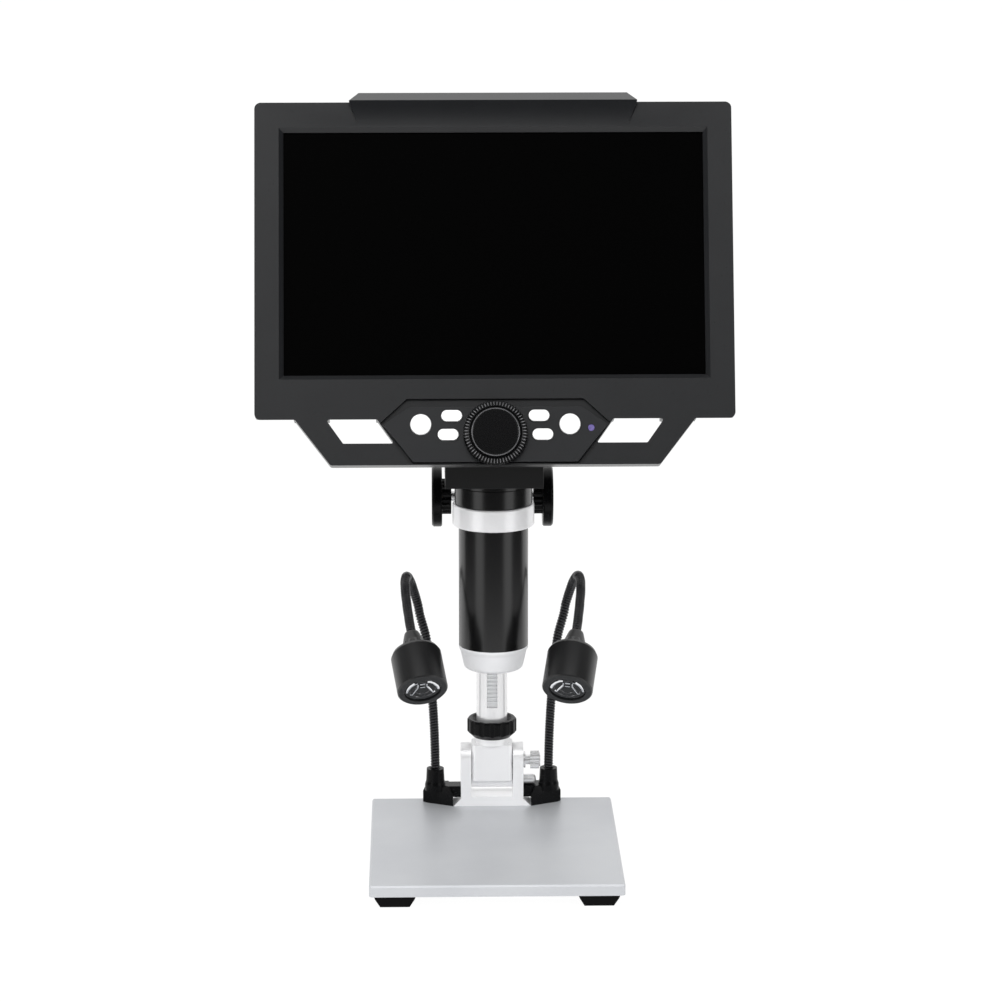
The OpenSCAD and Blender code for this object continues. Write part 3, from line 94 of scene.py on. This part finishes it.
ROOM_WHITE = linear("ffffff")
ROOM_FILL = 0.58
FLOOR_SIDE = 12
FLOOR_GLOW = 1.05
FLOOR_GLOW_SHARE = 0.93
LAMPS_AIM = Vector((0, 0, 0.19))
# Each softbox's place, side and watts
SOFTBOXES = {
    "key_softbox": ((-0.2, -1.5, 1.65), 1.1, 24),
    "left_softbox": ((-1.5, -0.7, 0.75), 0.8, 6.5),
    "right_softbox": ((1.5, -0.9, 0.7), 0.8, 5),
}

world = bpy.data.worlds.new("white_room")
bpy.context.scene.world = world
world.use_nodes = True
tree = world.node_tree
tree.nodes.clear()
rays, seen = seen_rays(tree)
seen = add_node(tree, "Math", {0: seen, 1: rays.outputs["Is Transmission Ray"]},
                operation="MAXIMUM")
fill = add_node(tree, "Background", {"Color": ROOM_WHITE, "Strength": ROOM_FILL})
white = add_node(tree, "Background", {"Color": ROOM_WHITE, "Strength": 1.0})
room = add_node(tree, "MixShader", {0: seen.outputs[0], 1: fill.outputs[0], 2: white.outputs[0]})
add_node(tree, "OutputWorld", {"Surface": room.outputs[0]})

for name, (place, size, watts) in SOFTBOXES.items():
    lamp = bpy.data.objects.new(name, bpy.data.lights.new(name, "AREA"))
    lamp.data.shape = "SQUARE"
    lamp.data.size = size
    lamp.data.energy = watts
    lamp.location = place
    lamp.rotation_euler = (LAMPS_AIM - Vector(place)).to_track_quat("-Z", "Y").to_euler()
    bpy.context.scene.collection.objects.link(lamp)

bpy.ops.object.select_all(action="DESELECT")
bpy.ops.mesh.primitive_plane_add(size=FLOOR_SIDE, location=(0, 0, 0))
floor = bpy.context.object
floor.name = "studio_floor"
paper = bpy.data.materials.new("matt_white_paper")
paper.use_nodes = True
tree = paper.node_tree
tree.nodes.clear()
rays, seen = seen_rays(tree)
seen = add_node(tree, "Math", {0: seen, 1: FLOOR_GLOW_SHARE}, operation="MULTIPLY")
lit = add_node(tree, "BsdfDiffuse", {"Color": linear("fafafa")})
glow = add_node(tree, "Emission", {"Color": ROOM_WHITE, "Strength": FLOOR_GLOW})
sheet = add_node(tree, "MixShader", {0: seen.outputs[0], 1: lit.outputs[0], 2: glow.outputs[0]})
add_node(tree, "OutputMaterial", {"Surface": sheet.outputs[0]})
floor.data.materials.append(paper)

# Flags stand in a ring round the object, seen in reflections only: one facing the camera, one
# each side. The gaps between them draw the soft upright highlights on the tube and column.
FLAG_RING = 0.46
FLAG_HEIGHT = 0.9
FLAG_MIDDLE = (0, 0.03, FLAG_HEIGHT / 2 + 0.001)
# Each flag's direction and span in degrees, the camera's direction being 0
FLAGS = {"front_flag": (0, 64), "left_flag": (-84, 44), "right_flag": (84, 44)}

flag_black = bpy.data.materials.new("black_flag_cloth")
flag_black.use_nodes = True
cloth = flag_black.node_tree.nodes["Principled BSDF"]
cloth.inputs["Base Color"].default_value = linear("2c2c2c")
cloth.inputs["Roughness"].default_value = 1.0
for name, (azimuth, span) in FLAGS.items():
    bpy.ops.mesh.primitive_cylinder_add(vertices=90, radius=FLAG_RING, depth=FLAG_HEIGHT,
                                        end_fill_type="NOTHING", location=FLAG_MIDDLE)
    flag = bpy.context.object
    flag.name = name
    toward = Vector((math.sin(math.radians(azimuth)), -math.cos(math.radians(azimuth)), 0))
    bpy.ops.object.mode_set(mode="EDIT")
    bpy.ops.mesh.select_all(action="DESELECT")
    bpy.ops.object.mode_set(mode="OBJECT")
    for face in flag.data.polygons:
        face.select = face.normal.angle(toward) > math.radians(span / 2)
    bpy.ops.object.mode_set(mode="EDIT")
    bpy.ops.mesh.delete(type="FACE")
    bpy.ops.object.mode_set(mode="OBJECT")
    flag.visible_camera = flag.visible_diffuse = flag.visible_shadow = False
    flag.visible_transmission = False
    flag.data.materials.append(flag_black)


# ---- Base plate and its feet ----
# A slab of aluminium, sawn, bevelled, bead-blasted and clear anodised: pale grey with a
# silky sheen, a fine pearly grain and bright edges where the bevel was cut last.
# Four tapered pads of black rubber are pressed under its corners.
MM = 0.001
SAME_POINT = 0.002 * MM
SAME_FLAT = math.radians(0.6)
EDGE_ANGLE = math.radians(30)


def start_material(name, code, roughness, metallic=0.0, **sockets):
    """A material with its shader's plain values set, then its tree, shader and coordinates."""
    material = bpy.data.materials.new(name)
    material.use_nodes = True
    shader = material.node_tree.nodes["Principled BSDF"]
    for socket, value in {"Base Color": linear(code), "Roughness": roughness,
                          "Metallic": metallic, **sockets}.items():
        shader.inputs[socket.replace("_", " ")].default_value = value
    place = add_node(material.node_tree, "TexCoord").outputs["Object"]
    return material, material.node_tree, shader, place


def grain(tree, vector, size, detail=2.0):
    """Noise from 0 to 1 whose cells are about one size across."""
    noise = add_node(tree, "TexNoise", {"Vector": vector, "Scale": 1 / size, "Detail": detail})
    return noise.outputs[0]


def vary_gloss(tree, shader, noise, low, high):
    """Lets the roughness wander between two values."""
    sheen = add_node(tree, "MapRange", {"Value": noise, "To Min": low, "To Max": high})
    tree.links.new(sheen.outputs[0], shader.inputs["Roughness"])


def vary_tone(tree, shader, noise, dark, light):
    """Lets the colour wander between two hex codes."""
    tone = add_node(tree, "Mix", {0: noise, 6: linear(dark), 7: linear(light)}, data_type="RGBA")
    tree.links.new(tone.outputs[2], shader.inputs["Base Color"])


def emboss(tree, shader, height, strength, distance):
    """Raises the surface a little where the noise is high."""
    bump = add_node(tree, "Bump", {"Height": height, "Strength": strength, "Distance": distance})
    tree.links.new(bump.outputs[0], shader.inputs["Normal"])


def dress(material, *names):
    """Gives CAD nodes their material."""
    for name in names:
        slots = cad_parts[name].data.materials
        slots.clear()
        slots.append(material)


def eased_copy(node, name, width, material, body):
    """A copy of a CAD node with its mesh merged and its edges broken, which stands for it."""
    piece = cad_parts[node].copy()
    piece.data = piece.data.copy()
    piece.name = piece.data.name = name
    piece.parent = None
    for key in list(piece.keys()):
        del piece[key]
    bpy.context.scene.collection.objects.link(piece)
    bpy.ops.object.select_all(action="DESELECT")
    piece.select_set(True)
    bpy.context.view_layer.objects.active = piece
    bpy.ops.object.mode_set(mode="EDIT")
    bpy.ops.mesh.select_all(action="SELECT")
    bpy.ops.mesh.remove_doubles(threshold=SAME_POINT)
    bpy.ops.mesh.dissolve_limited(angle_limit=SAME_FLAT)
    bpy.ops.object.mode_set(mode="OBJECT")
    bevel = piece.modifiers.new("edges", "BEVEL")
    bevel.width = width
    bevel.segments = 2
    bevel.angle_limit = EDGE_ANGLE
    bevel.miter_outer = "MITER_ARC"
    bpy.ops.object.modifier_apply(modifier="edges")
    bpy.ops.object.shade_smooth_by_angle(angle=EDGE_ANGLE)
    weighted = piece.modifiers.new("flats", "WEIGHTED_NORMAL")
    weighted.keep_sharp = True
    bpy.ops.object.modifier_apply(modifier="flats")
    piece.data.materials.clear()
    piece.data.materials.append(material)
    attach(piece, body)
    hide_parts(node)


PLATE_GRAIN = 0.35 * MM
PLATE_CLOUD = 38 * MM

plate_aluminium, tree, shader, place = start_material(
    "bead_blasted_anodised_aluminium", "c6c8cc", 0.42, 0.35)
cloud = grain(tree, place, PLATE_CLOUD, 3.0)
tint = add_node(tree, "MapRange", {"Value": cloud, "From Min": 0.3, "From Max": 0.7,
                                   "To Min": 0.0, "To Max": 1.0})
vary_tone(tree, shader, tint.outputs[0], "c3c5c9", "cacccf")
grit = grain(tree, place, PLATE_GRAIN)
vary_gloss(tree, shader, grit, 0.36, 0.5)
emboss(tree, shader, grit, 0.12, 0.02 * MM)
eased_copy("base_plate", "base_plate_slab", 0.25 * MM, plate_aluminium, "base")

RUBBER_GRAIN = 0.5 * MM
foot_rubber, tree, shader, place = start_material(
    "moulded_black_rubber", "060607", 0.7, Specular_IOR_Level=0.08)
grit = grain(tree, place, RUBBER_GRAIN, 3.0)
vary_gloss(tree, shader, grit, 0.62, 0.8)
emboss(tree, shader, grit, 0.3, 0.04 * MM)
eased_copy("rubber_feet", "tapered_rubber_feet", 0.4 * MM, foot_rubber, "base")


# ---- Tilting hinge ----
# A clevis and the block that turns in it, both milled from aluminium and clear anodised to
# a bright satin. The bolt, thumb screw and fixing screws are turned and plated steel.
CUTTER_LINE = 0.6 * MM

bright_aluminium, tree, shader, place = start_material(
    "milled_anodised_aluminium", "f9f9fa", 0.3, 0.35)
along = add_node(tree, "Mapping", {"Vector": place, "Scale": (0.05, 1.0, 1.0)})
lines = grain(tree, along.outputs[0], CUTTER_LINE)
vary_gloss(tree, shader, lines, 0.28, 0.36)
emboss(tree, shader, lines, 0.02, 0.01 * MM)
eased_copy("hinge_bracket", "clevis", 0.3 * MM, bright_aluminium, "base")
eased_copy("hinge_block", "clevis_block", 0.3 * MM, bright_aluminium, "column")

TURNING_LINE = 0.4 * MM
plated_steel, tree, shader, place = start_material(
    "turned_nickel_plated_steel", "eeeeef", 0.22, 0.7)
vary_gloss(tree, shader, grain(tree, place, TURNING_LINE), 0.16, 0.32)
dress(plated_steel, "bracket_screws", "pivot_bolt", "lock_screw", "drag_screw", "height_axle",
      "holder_screws", "guide_rods", "focus_shaft")


# ---- Column with its rack, cap and clamping nut ----
# A drawn aluminium tube, polished and anodised, with a steel rack pressed into a slot down its
# front. A push-in cap closes the top. The nut that clamps it is fluted black ABS.
DRAW_LINE = 0.3 * MM

drawn_aluminium, tree, shader, place = start_material(
    "drawn_anodised_aluminium", "f0f0f1", 0.2, 0.6)
along = add_node(tree, "Mapping", {"Vector": place, "Scale": (1.0, 1.0, 0.02)})
vary_gloss(tree, shader, grain(tree, along.outputs[0], DRAW_LINE), 0.16, 0.3)
dress(drawn_aluminium, "column_tube")

rack_steel, tree, shader, place = start_material("milled_steel_rack", "eeeff0", 0.34, 0.3)
vary_gloss(tree, shader, grain(tree, place, TURNING_LINE), 0.26, 0.46)
dress(rack_steel, "height_rack")

ABS_GRAIN = 0.45 * MM
ABS_CLOUD = 16 * MM


def moulded_abs(name, code, lighter, roughness, depth, gloss):
    """Moulded ABS: an eroded-mould grain in its gloss and relief, and a faint cloudiness."""
    material, tree, shader, place = start_material(
        name, code, roughness, Specular_IOR_Level=gloss)
    vary_tone(tree, shader, grain(tree, place, ABS_CLOUD), code, lighter)
    grit = grain(tree, place, ABS_GRAIN, 3.0)
    vary_gloss(tree, shader, grit, roughness - 0.06, roughness + 0.06)
    emboss(tree, shader, grit, depth, 0.03 * MM)
    return material


black_abs = moulded_abs("moulded_black_abs", "050506", "080809", 0.28, 0.2, gloss=0.13)
dress(black_abs, "column_cap", "cover_screws", "tube_nut")
eased_copy("collet_nut", "fluted_nut", 0.2 * MM, black_abs, "nut")


# ---- Carriage, its ring and the height knobs ----
# The carriage and the ring that holds the camera are die-cast and sprayed white-silver. Brass
# bushes and nylon liners are pressed in. Both knobs are moulded on one steel axle.
SPRAY_GRAIN = 0.6 * MM

silver_paint, tree, shader, place = start_material(
    "sprayed_white_silver", "ecedee", 0.3, 0.25, Coat_Weight=0.3, Coat_Roughness=0.15)
grit = grain(tree, place, SPRAY_GRAIN)
vary_tone(tree, shader, grit, "e9e9eb", "f0f0f1")
emboss(tree, shader, grit, 0.08, 0.02 * MM)
eased_copy("ring_holder", "holding_ring", 0.25 * MM, silver_paint, "carriage")
eased_copy("carriage_body", "carriage_casting", 0.3 * MM, silver_paint, "carriage")

brass, tree, shader, place = start_material("turned_brass", "b8914a", 0.3, 1.0)
vary_gloss(tree, shader, grain(tree, place, TURNING_LINE), 0.22, 0.4)
dress(brass, "axle_bushes", "dial_bush")

nylon, tree, shader, place = start_material(
    "ivory_nylon", "ded9c8", 0.5, Subsurface_Weight=0.1, Subsurface_Scale=1 * MM)
vary_gloss(tree, shader, grain(tree, place, ABS_GRAIN), 0.42, 0.6)
dress(nylon, "carriage_gibs")

for side in ("left", "right"):
    eased_copy(side + "_height_knob", side + "_ribbed_knob", 0.2 * MM, black_abs, "knobs")


# ---- Camera tube ----
# A turned aluminium barrel, anodised satin black, with a grooved collar under the neck and a
# white moulded nose. Inside are the window, ring of lamps, lens carrier and sensor board.
NOSE_CLOUD = 6 * MM
GLASS_HAZE = 2 * MM
TRACK_PITCH = 2.4 * MM

tube_black, tree, shader, place = start_material(
    "satin_black_anodised", "060607", 0.24, Specular_IOR_Level=0.7)
lines = grain(tree, place, DRAW_LINE)
vary_gloss(tree, shader, lines, 0.22, 0.28)
emboss(tree, shader, lines, 0.08, 0.01 * MM)
dress(tube_black, "camera_tube", "tube_collar", "lens_barrel")

nose_white, tree, shader, place = start_material("moulded_white_nose", "e4e5e7", 0.4)
vary_tone(tree, shader, grain(tree, place, NOSE_CLOUD), "e0e1e3", "e8e8ea")
dress(nose_white, "nose_ring")

coated_glass, tree, shader, place = start_material(
    "coated_optical_glass", "f2f7fa", 0.03, Transmission_Weight=1.0, IOR=1.5)
vary_gloss(tree, shader, grain(tree, place, GLASS_HAZE, 1.0), 0.01, 0.05)
dress(coated_glass, "nose_window", "lens_glass")


def printed_board(name, resist, copper):
    """Glass-epoxy board: lacquered resist over copper tracks that show as paler lines."""
    material, tree, shader, place = start_material(name, resist, 0.32, Coat_Weight=0.4)
    cells = add_node(tree, "TexBrick", {"Vector": place, "Color1": linear(resist),
                                        "Color2": linear(copper), "Mortar": linear(copper),
                                        "Scale": 1 / TRACK_PITCH, "Mortar Size": 0.02})
    tree.links.new(cells.outputs[0], shader.inputs["Base Color"])
    return material


green_board = printed_board("green_circuit_board", "14492c", "1d5a38")
white_board = printed_board("white_circuit_board", "dcdcd6", "e6e6e0")
dress(green_board, "camera_board", "main_board", "switch_board")
dress(white_board, "ring_light")


# ---- Display head ----
# Front shell, rear cover and neck are moulded ABS, charcoal and black, with the fine grain of
# an eroded mould. The panel sits behind a black-bordered glass with an anti-glare coat.
charcoal_abs = moulded_abs("moulded_charcoal_abs", "151618", "191a1c", 0.3, 0.2, gloss=0.45)
satin_abs = moulded_abs("satin_black_abs", "0f0f10", "121213", 0.36, 0.15, gloss=0.6)
eased_copy("front_shell", "bezel_shell", 0.35 * MM, charcoal_abs, "head")
eased_copy("rear_cover", "rear_cover_shell", 0.4 * MM, charcoal_abs, "head")
eased_copy("neck_housing", "neck_shell", 0.4 * MM, satin_abs, "head")

panel_glass, tree, shader, place = start_material(
    "anti_glare_black_glass", "010101", 0.3, Specular_IOR_Level=0.02)
vary_gloss(tree, shader, grain(tree, place, ABS_GRAIN, 1.0), 0.25, 0.35)
dress(panel_glass, "display_glass")
dress(plated_steel, "lcd_panel")

FILM_WRINKLE = 8 * MM
battery_film, tree, shader, place = start_material("shrink_wrapped_film", "6f7780", 0.35)
emboss(tree, shader, grain(tree, place, FILM_WRINKLE, 3.0), 0.4, 0.2 * MM)
dress(battery_film, "battery_pack")


# ---- Controls ----
# A grey-black plate stuck in the shell's recess, with white moulded keys, a violet light pipe
# and the focus dial: a black knob whose rim is knurled and whose top is a plain satin disc.
plate_abs = moulded_abs("satin_grey_abs", "191a1c", "1e1f21", 0.3, 0.12, gloss=0.4)
eased_copy("control_plate", "control_panel", 0.3 * MM, plate_abs, "head")

key_white, tree, shader, place = start_material("glossy_white_abs", "f4f4f4", 0.25)
vary_gloss(tree, shader, grain(tree, place, ABS_GRAIN), 0.2, 0.32)
for key in ("power", "menu", "up", "down", "snap", "ok"):
    eased_copy(key + "_button", key + "_cap", 0.35 * MM, key_white, key + "_key")

PIPE_CLOUD = 1 * MM
violet_pipe, tree, shader, place = start_material(
    "violet_light_pipe", "6a5b9c", 0.2, Transmission_Weight=0.3)
vary_tone(tree, shader, grain(tree, place, PIPE_CLOUD, 1.0), "54468a", "8a7cc0")
dress(violet_pipe, "indicator_lens")
eased_copy("focus_dial", "knurled_dial", 0.15 * MM, black_abs, "dial")

# Between the dial's flutes stand small ribs, and a bead rings its disc. Both are a lighter,
# metallic grey than the black moulding round them, a painted highlight, so that each catches a
# bright point of light.
FACE_TILT = math.radians(19)
FACE_ACROSS = Vector((1, 0, 0))
FACE_UP = Vector((0, math.sin(FACE_TILT), math.cos(FACE_TILT)))
FACE_OUT = Vector((0, -math.cos(FACE_TILT), math.sin(FACE_TILT)))
DIAL_MIDDLE = Vector((0, -26.98, 219.26)) * MM
BEAD_RADIUS = 11.0 * MM
BEAD_THICK = 0.3 * MM
BEAD_HEIGHT = 6.68 * MM
RIB_COUNT = 60
RIB_OUT = 13.55 * MM
RIB_HEIGHT = 5.46 * MM
RIB_SIZE = (2.3 * MM, 0.62 * MM, 0.6 * MM)
RIB_SLOPE = math.radians(24)
SMOOTH_ANGLE = math.radians(40)


def stood(across, up, out, middle):
    """The matrix of a piece whose x, y and z run along three directions from a middle."""
    return Matrix.Translation(middle) @ Matrix((across, up, out)).transposed().to_4x4()


def joined(pieces, name, material, body):
    """Joins pieces into one object at the origin, smooth by angle, which rides a body."""
    bpy.ops.object.select_all(action="DESELECT")
    for piece in pieces:
        piece.select_set(True)
    bpy.context.view_layer.objects.active = pieces[0]
    if len(pieces) > 1:
        bpy.ops.object.join()
    whole = bpy.context.object
    bpy.ops.object.transform_apply(location=True, rotation=True, scale=True)
    bpy.ops.object.shade_smooth_by_angle(angle=SMOOTH_ANGLE)
    whole.name = whole.data.name = name
    whole.data.materials.clear()
    whole.data.materials.append(material)
    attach(whole, body)
    return whole


# Black ABS shown as a lighter metallic grey: painted glint, also used on the lamp lenses' rings.
painted_glint_abs, tree, shader, place = start_material(
    "black_abs_painted_glint_grey", "6c6c6e", 0.1, 0.6, Specular_IOR_Level=1.0)
vary_gloss(tree, shader, grain(tree, place, ABS_GRAIN, 1.0), 0.08, 0.16)

ribs = []
for i in range(RIB_COUNT):
    turn = math.tau * (i + 0.5) / RIB_COUNT
    ray = math.cos(turn) * FACE_ACROSS + math.sin(turn) * FACE_UP
    along = math.cos(RIB_SLOPE) * ray - math.sin(RIB_SLOPE) * FACE_OUT
    side = FACE_OUT.cross(ray)
    bpy.ops.object.select_all(action="DESELECT")
    bpy.ops.mesh.primitive_uv_sphere_add(segments=10, ring_count=6, radius=0.5)
    rib = bpy.context.object
    rib.matrix_world = stood(along, side, along.cross(side),
                             DIAL_MIDDLE + RIB_OUT * ray + RIB_HEIGHT * FACE_OUT)
    rib.scale = RIB_SIZE
    ribs.append(rib)
joined(ribs, "dial_ribs", painted_glint_abs, "dial")
bpy.ops.object.select_all(action="DESELECT")
bpy.ops.mesh.primitive_torus_add(major_radius=BEAD_RADIUS, minor_radius=BEAD_THICK,
                                 major_segments=96, minor_segments=10)
bead = bpy.context.object
bead.matrix_world = stood(FACE_ACROSS, FACE_UP, FACE_OUT, DIAL_MIDDLE + BEAD_HEIGHT * FACE_OUT)
joined([bead], "dial_bead", painted_glint_abs, "dial")


# ---- Goosenecks and lamps ----
# Each gooseneck is a spring of black-oxided round wire wound tightly over a core, which holds
# any bend. It plugs into a moulded foot beside the clevis and into the ribbed cone of a lamp.
WIRE_RADIUS = 0.68 * MM
WIRE_PITCH = 1.42 * MM
NECK_RADIUS = 2.4 * MM
CORE_RADIUS = 1.65 * MM
STEPS_A_TURN = 12
COIL_START = Vector((0, 0.37, 0.93))
LOOK_AHEAD = 0.002

# The right neck's middle line: it rises from its foot, leans out, bends over and runs to its lamp
FOOT = Vector((28.3, 60.45, 27.0)) * MM
RISE = 68.3 * MM
RISE_END_X = 32.3 * MM
LEAN_OUT = 18 * MM
BEND_START = Vector((36.3, 60.45, 113.3)) * MM
BEND_RADIUS = 20 * MM
BEND_TURN = math.radians(130)
BEND_OUT_X = 42.7 * MM
BEND_OUT_RATE = 0.81
RUN = 25.7 * MM
RUN_TOE_START = 0.55
RUN_TOE_GAIN = 0.225
TOE = math.radians(9)
LEAN = math.radians(50)
LAMP_AXIS = Vector((-math.sin(TOE), -math.cos(TOE) * math.sin(LEAN),
                    -math.cos(TOE) * math.cos(LEAN)))
NECK_LENGTH = RISE + LEAN_OUT + BEND_RADIUS * BEND_TURN + RUN


def bend_point(turn):
    """A place on the bend, after so much of its turn."""
    out = (BEND_OUT_X - BEND_START.x) * math.sin(BEND_OUT_RATE * turn)
    return Vector((BEND_START.x + out, BEND_START.y - BEND_RADIUS * (1 - math.cos(turn)),
                   BEND_START.z + BEND_RADIUS * math.sin(turn)))


def neck_point(u):
    """A place on the right gooseneck's middle line, u from 0 at its foot to 1 at its lamp."""
    s = u * NECK_LENGTH
    if s < RISE:
        return Vector((FOOT.x + (RISE_END_X - FOOT.x) * (s / RISE) ** 2, FOOT.y, FOOT.z + s))
    if s < RISE + LEAN_OUT:
        t = (s - RISE) / LEAN_OUT
        lean = (BEND_START.x - RISE_END_X) * (0.4 * t + 0.6 * (t * t * (3 - 2 * t)))
        return Vector((RISE_END_X + lean, FOOT.y, FOOT.z + s))
    if s < NECK_LENGTH - RUN:
        return bend_point((s - RISE - LEAN_OUT) / BEND_RADIUS)
    t = s - (NECK_LENGTH - RUN)
    toe = RUN_TOE_START + RUN_TOE_GAIN * t / RUN
    return bend_point(BEND_TURN) + t * Vector((LAMP_AXIS.x * toe, LAMP_AXIS.y, LAMP_AXIS.z))


def wound_wire(name, points, radius):
    """A round wire along the points, closed at both ends, as a mesh."""
    line = bpy.data.curves.new(name, "CURVE")
    line.dimensions = "3D"
    line.bevel_depth = radius
    line.bevel_resolution = 1
    line.use_fill_caps = True
    spline = line.splines.new("POLY")
    spline.points.add(len(points) - 1)
    for knot, point in zip(spline.points, points):
        knot.co = (*point, 1)
    wire = bpy.data.objects.new(name, line)
    bpy.context.scene.collection.objects.link(wire)
    bpy.ops.object.select_all(action="DESELECT")
    wire.select_set(True)
    bpy.context.view_layer.objects.active = wire
    bpy.ops.object.convert(target="MESH")
    return bpy.context.object


oxide_steel, tree, shader, place = start_material(
    "black_oxide_spring_wire", "3a3a3c", 0.24, 0.7)
vary_gloss(tree, shader, grain(tree, place, ABS_GRAIN), 0.18, 0.32)

turns = NECK_LENGTH / WIRE_PITCH
knots = int(turns * STEPS_A_TURN)
for side, flip in (("left", -1), ("right", 1)):
    coil, core = [], []
    for i in range(knots + 1):
        u = i / knots
        middle = neck_point(u)
        ahead = neck_point(min(u + LOOK_AHEAD, 1)) - neck_point(max(u - LOOK_AHEAD, 0))
        ahead.normalize()
        across = ahead.cross(COIL_START).normalized()
        turn = math.tau * i / STEPS_A_TURN
        ray = math.cos(turn) * across + math.sin(turn) * across.cross(ahead)
        spot = middle + (NECK_RADIUS - WIRE_RADIUS) * ray
        coil.append((flip * spot.x, spot.y, spot.z))
        if i % STEPS_A_TURN == 0:
            core.append((flip * middle.x, middle.y, middle.z))
    winding = wound_wire(side + "_gooseneck_coil", coil, WIRE_RADIUS)
    inside = wound_wire(side + "_gooseneck_core", core, CORE_RADIUS)
    inside.select_set(True)
    winding.select_set(True)
    bpy.context.view_layer.objects.active = winding
    bpy.ops.object.join()
    winding.data.materials.append(oxide_steel)
    bpy.ops.object.shade_smooth()
    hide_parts(side + "_gooseneck")
    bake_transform(winding)

for side in ("left", "right"):
    eased_copy(side + "_lamp_head", side + "_lamp_housing", 0.25 * MM, satin_abs, side + "_lamp")
eased_copy("lamp_feet", "wedge_feet", 0.3 * MM, black_abs, "base")

# Each lamp's front is an opaque lens with two fine rings, coloured near black as a painted dark
# reflection of the reflector cup behind it. On its face lie chrome wires and bars, painted
# reflections: the reflector's bright petals on either side and two small pale bars for the light
# source.
MOUTH = 31.9 * MM
LENS_DEPTH = 0.7 * MM
LENS_RADIUS = 8.9 * MM
LENS_THICK = 5 * MM
LENS_RINGS = (3.6 * MM, 6.2 * MM)
RING_THICK = 0.14 * MM
# Petals as points across and up in lens radii, each with its wire's radius
PETALS = (
    (((-0.86, -0.05), (-0.8, 0.2), (-0.62, 0.48), (-0.42, 0.66), (-0.26, 0.7)), 0.72 * MM),
    (((-0.24, 0.56), (-0.25, 0.26), (-0.4, -0.02), (-0.57, -0.34), (-0.68, -0.27)), 0.5 * MM),
)
# Bars as a height in lens radii and a thickness
BARS = ((0.52, 1.0 * MM), (0.24, 0.7 * MM))
BAR_WIDTH = 2.4 * MM
BAR_DEPTH = 0.5 * MM
PAINTED_REFLECTION_HAZE = 1.5 * MM
LENS_HAZE = 1 * MM

# Chrome for the painted reflections laid on each lens face.
painted_reflection_chrome, tree, shader, place = start_material(
    "chrome_for_painted_reflections", "e8e9ec", 0.08, 1.0)
vary_gloss(tree, shader, grain(tree, place, PAINTED_REFLECTION_HAZE, 1.0), 0.05, 0.12)
# The lens is coloured near black: painted dark reflection of the reflector cup.
painted_dark_lens, tree, shader, place = start_material("lens_painted_dark", "101112", 0.12)
vary_gloss(tree, shader, grain(tree, place, LENS_HAZE, 1.0), 0.08, 0.18)

for side, flip in (("left", -1), ("right", 1)):
    axis = Vector((flip * LAMP_AXIS.x, LAMP_AXIS.y, LAMP_AXIS.z))
    end = neck_point(1)
    across = (Vector((1, 0, 0)) - axis.x * axis).normalized()
    up = axis.cross(across)
    front = Vector((flip * end.x, end.y, end.z)) + (MOUTH - LENS_DEPTH) * axis
    bpy.ops.object.select_all(action="DESELECT")
    bpy.ops.mesh.primitive_cylinder_add(vertices=72, radius=LENS_RADIUS, depth=LENS_THICK)
    lens = bpy.context.object
    lens.matrix_world = stood(across, up, axis, front - LENS_THICK / 2 * axis)
    lens = joined([lens], side + "_lamp_lens", painted_dark_lens, side + "_lamp")
    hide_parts(side + "_lamp_optic")
    rings = []
    for radius in LENS_RINGS:
        bpy.ops.mesh.primitive_torus_add(major_radius=radius, minor_radius=RING_THICK,
                                         major_segments=72, minor_segments=6)
        rings.append(bpy.context.object)
        rings[-1].matrix_world = stood(across, up, axis, front)
    joined(rings, side + "_lens_rings", painted_glint_abs, side + "_lamp")
    # Painted reflections: petal wires and bars lying on the lens face.
    bright = []
    for mirror in (-1, 1):
        for petal, radius in PETALS:
            points = [front + LENS_RADIUS * (mirror * x * across + y * up) for x, y in petal]
            bright.append(wound_wire(side + "_petal", points, radius))
    for height, thick in BARS:
        bpy.ops.mesh.primitive_cube_add(size=1)
        bar = bpy.context.object
        bar.matrix_world = stood(across, up, axis, front + height * LENS_RADIUS * up)
        bar.scale = (BAR_WIDTH, thick, BAR_DEPTH)
        bright.append(bar)
    joined(bright, side + "_painted_petal_reflections", painted_reflection_chrome, side + "_lamp")
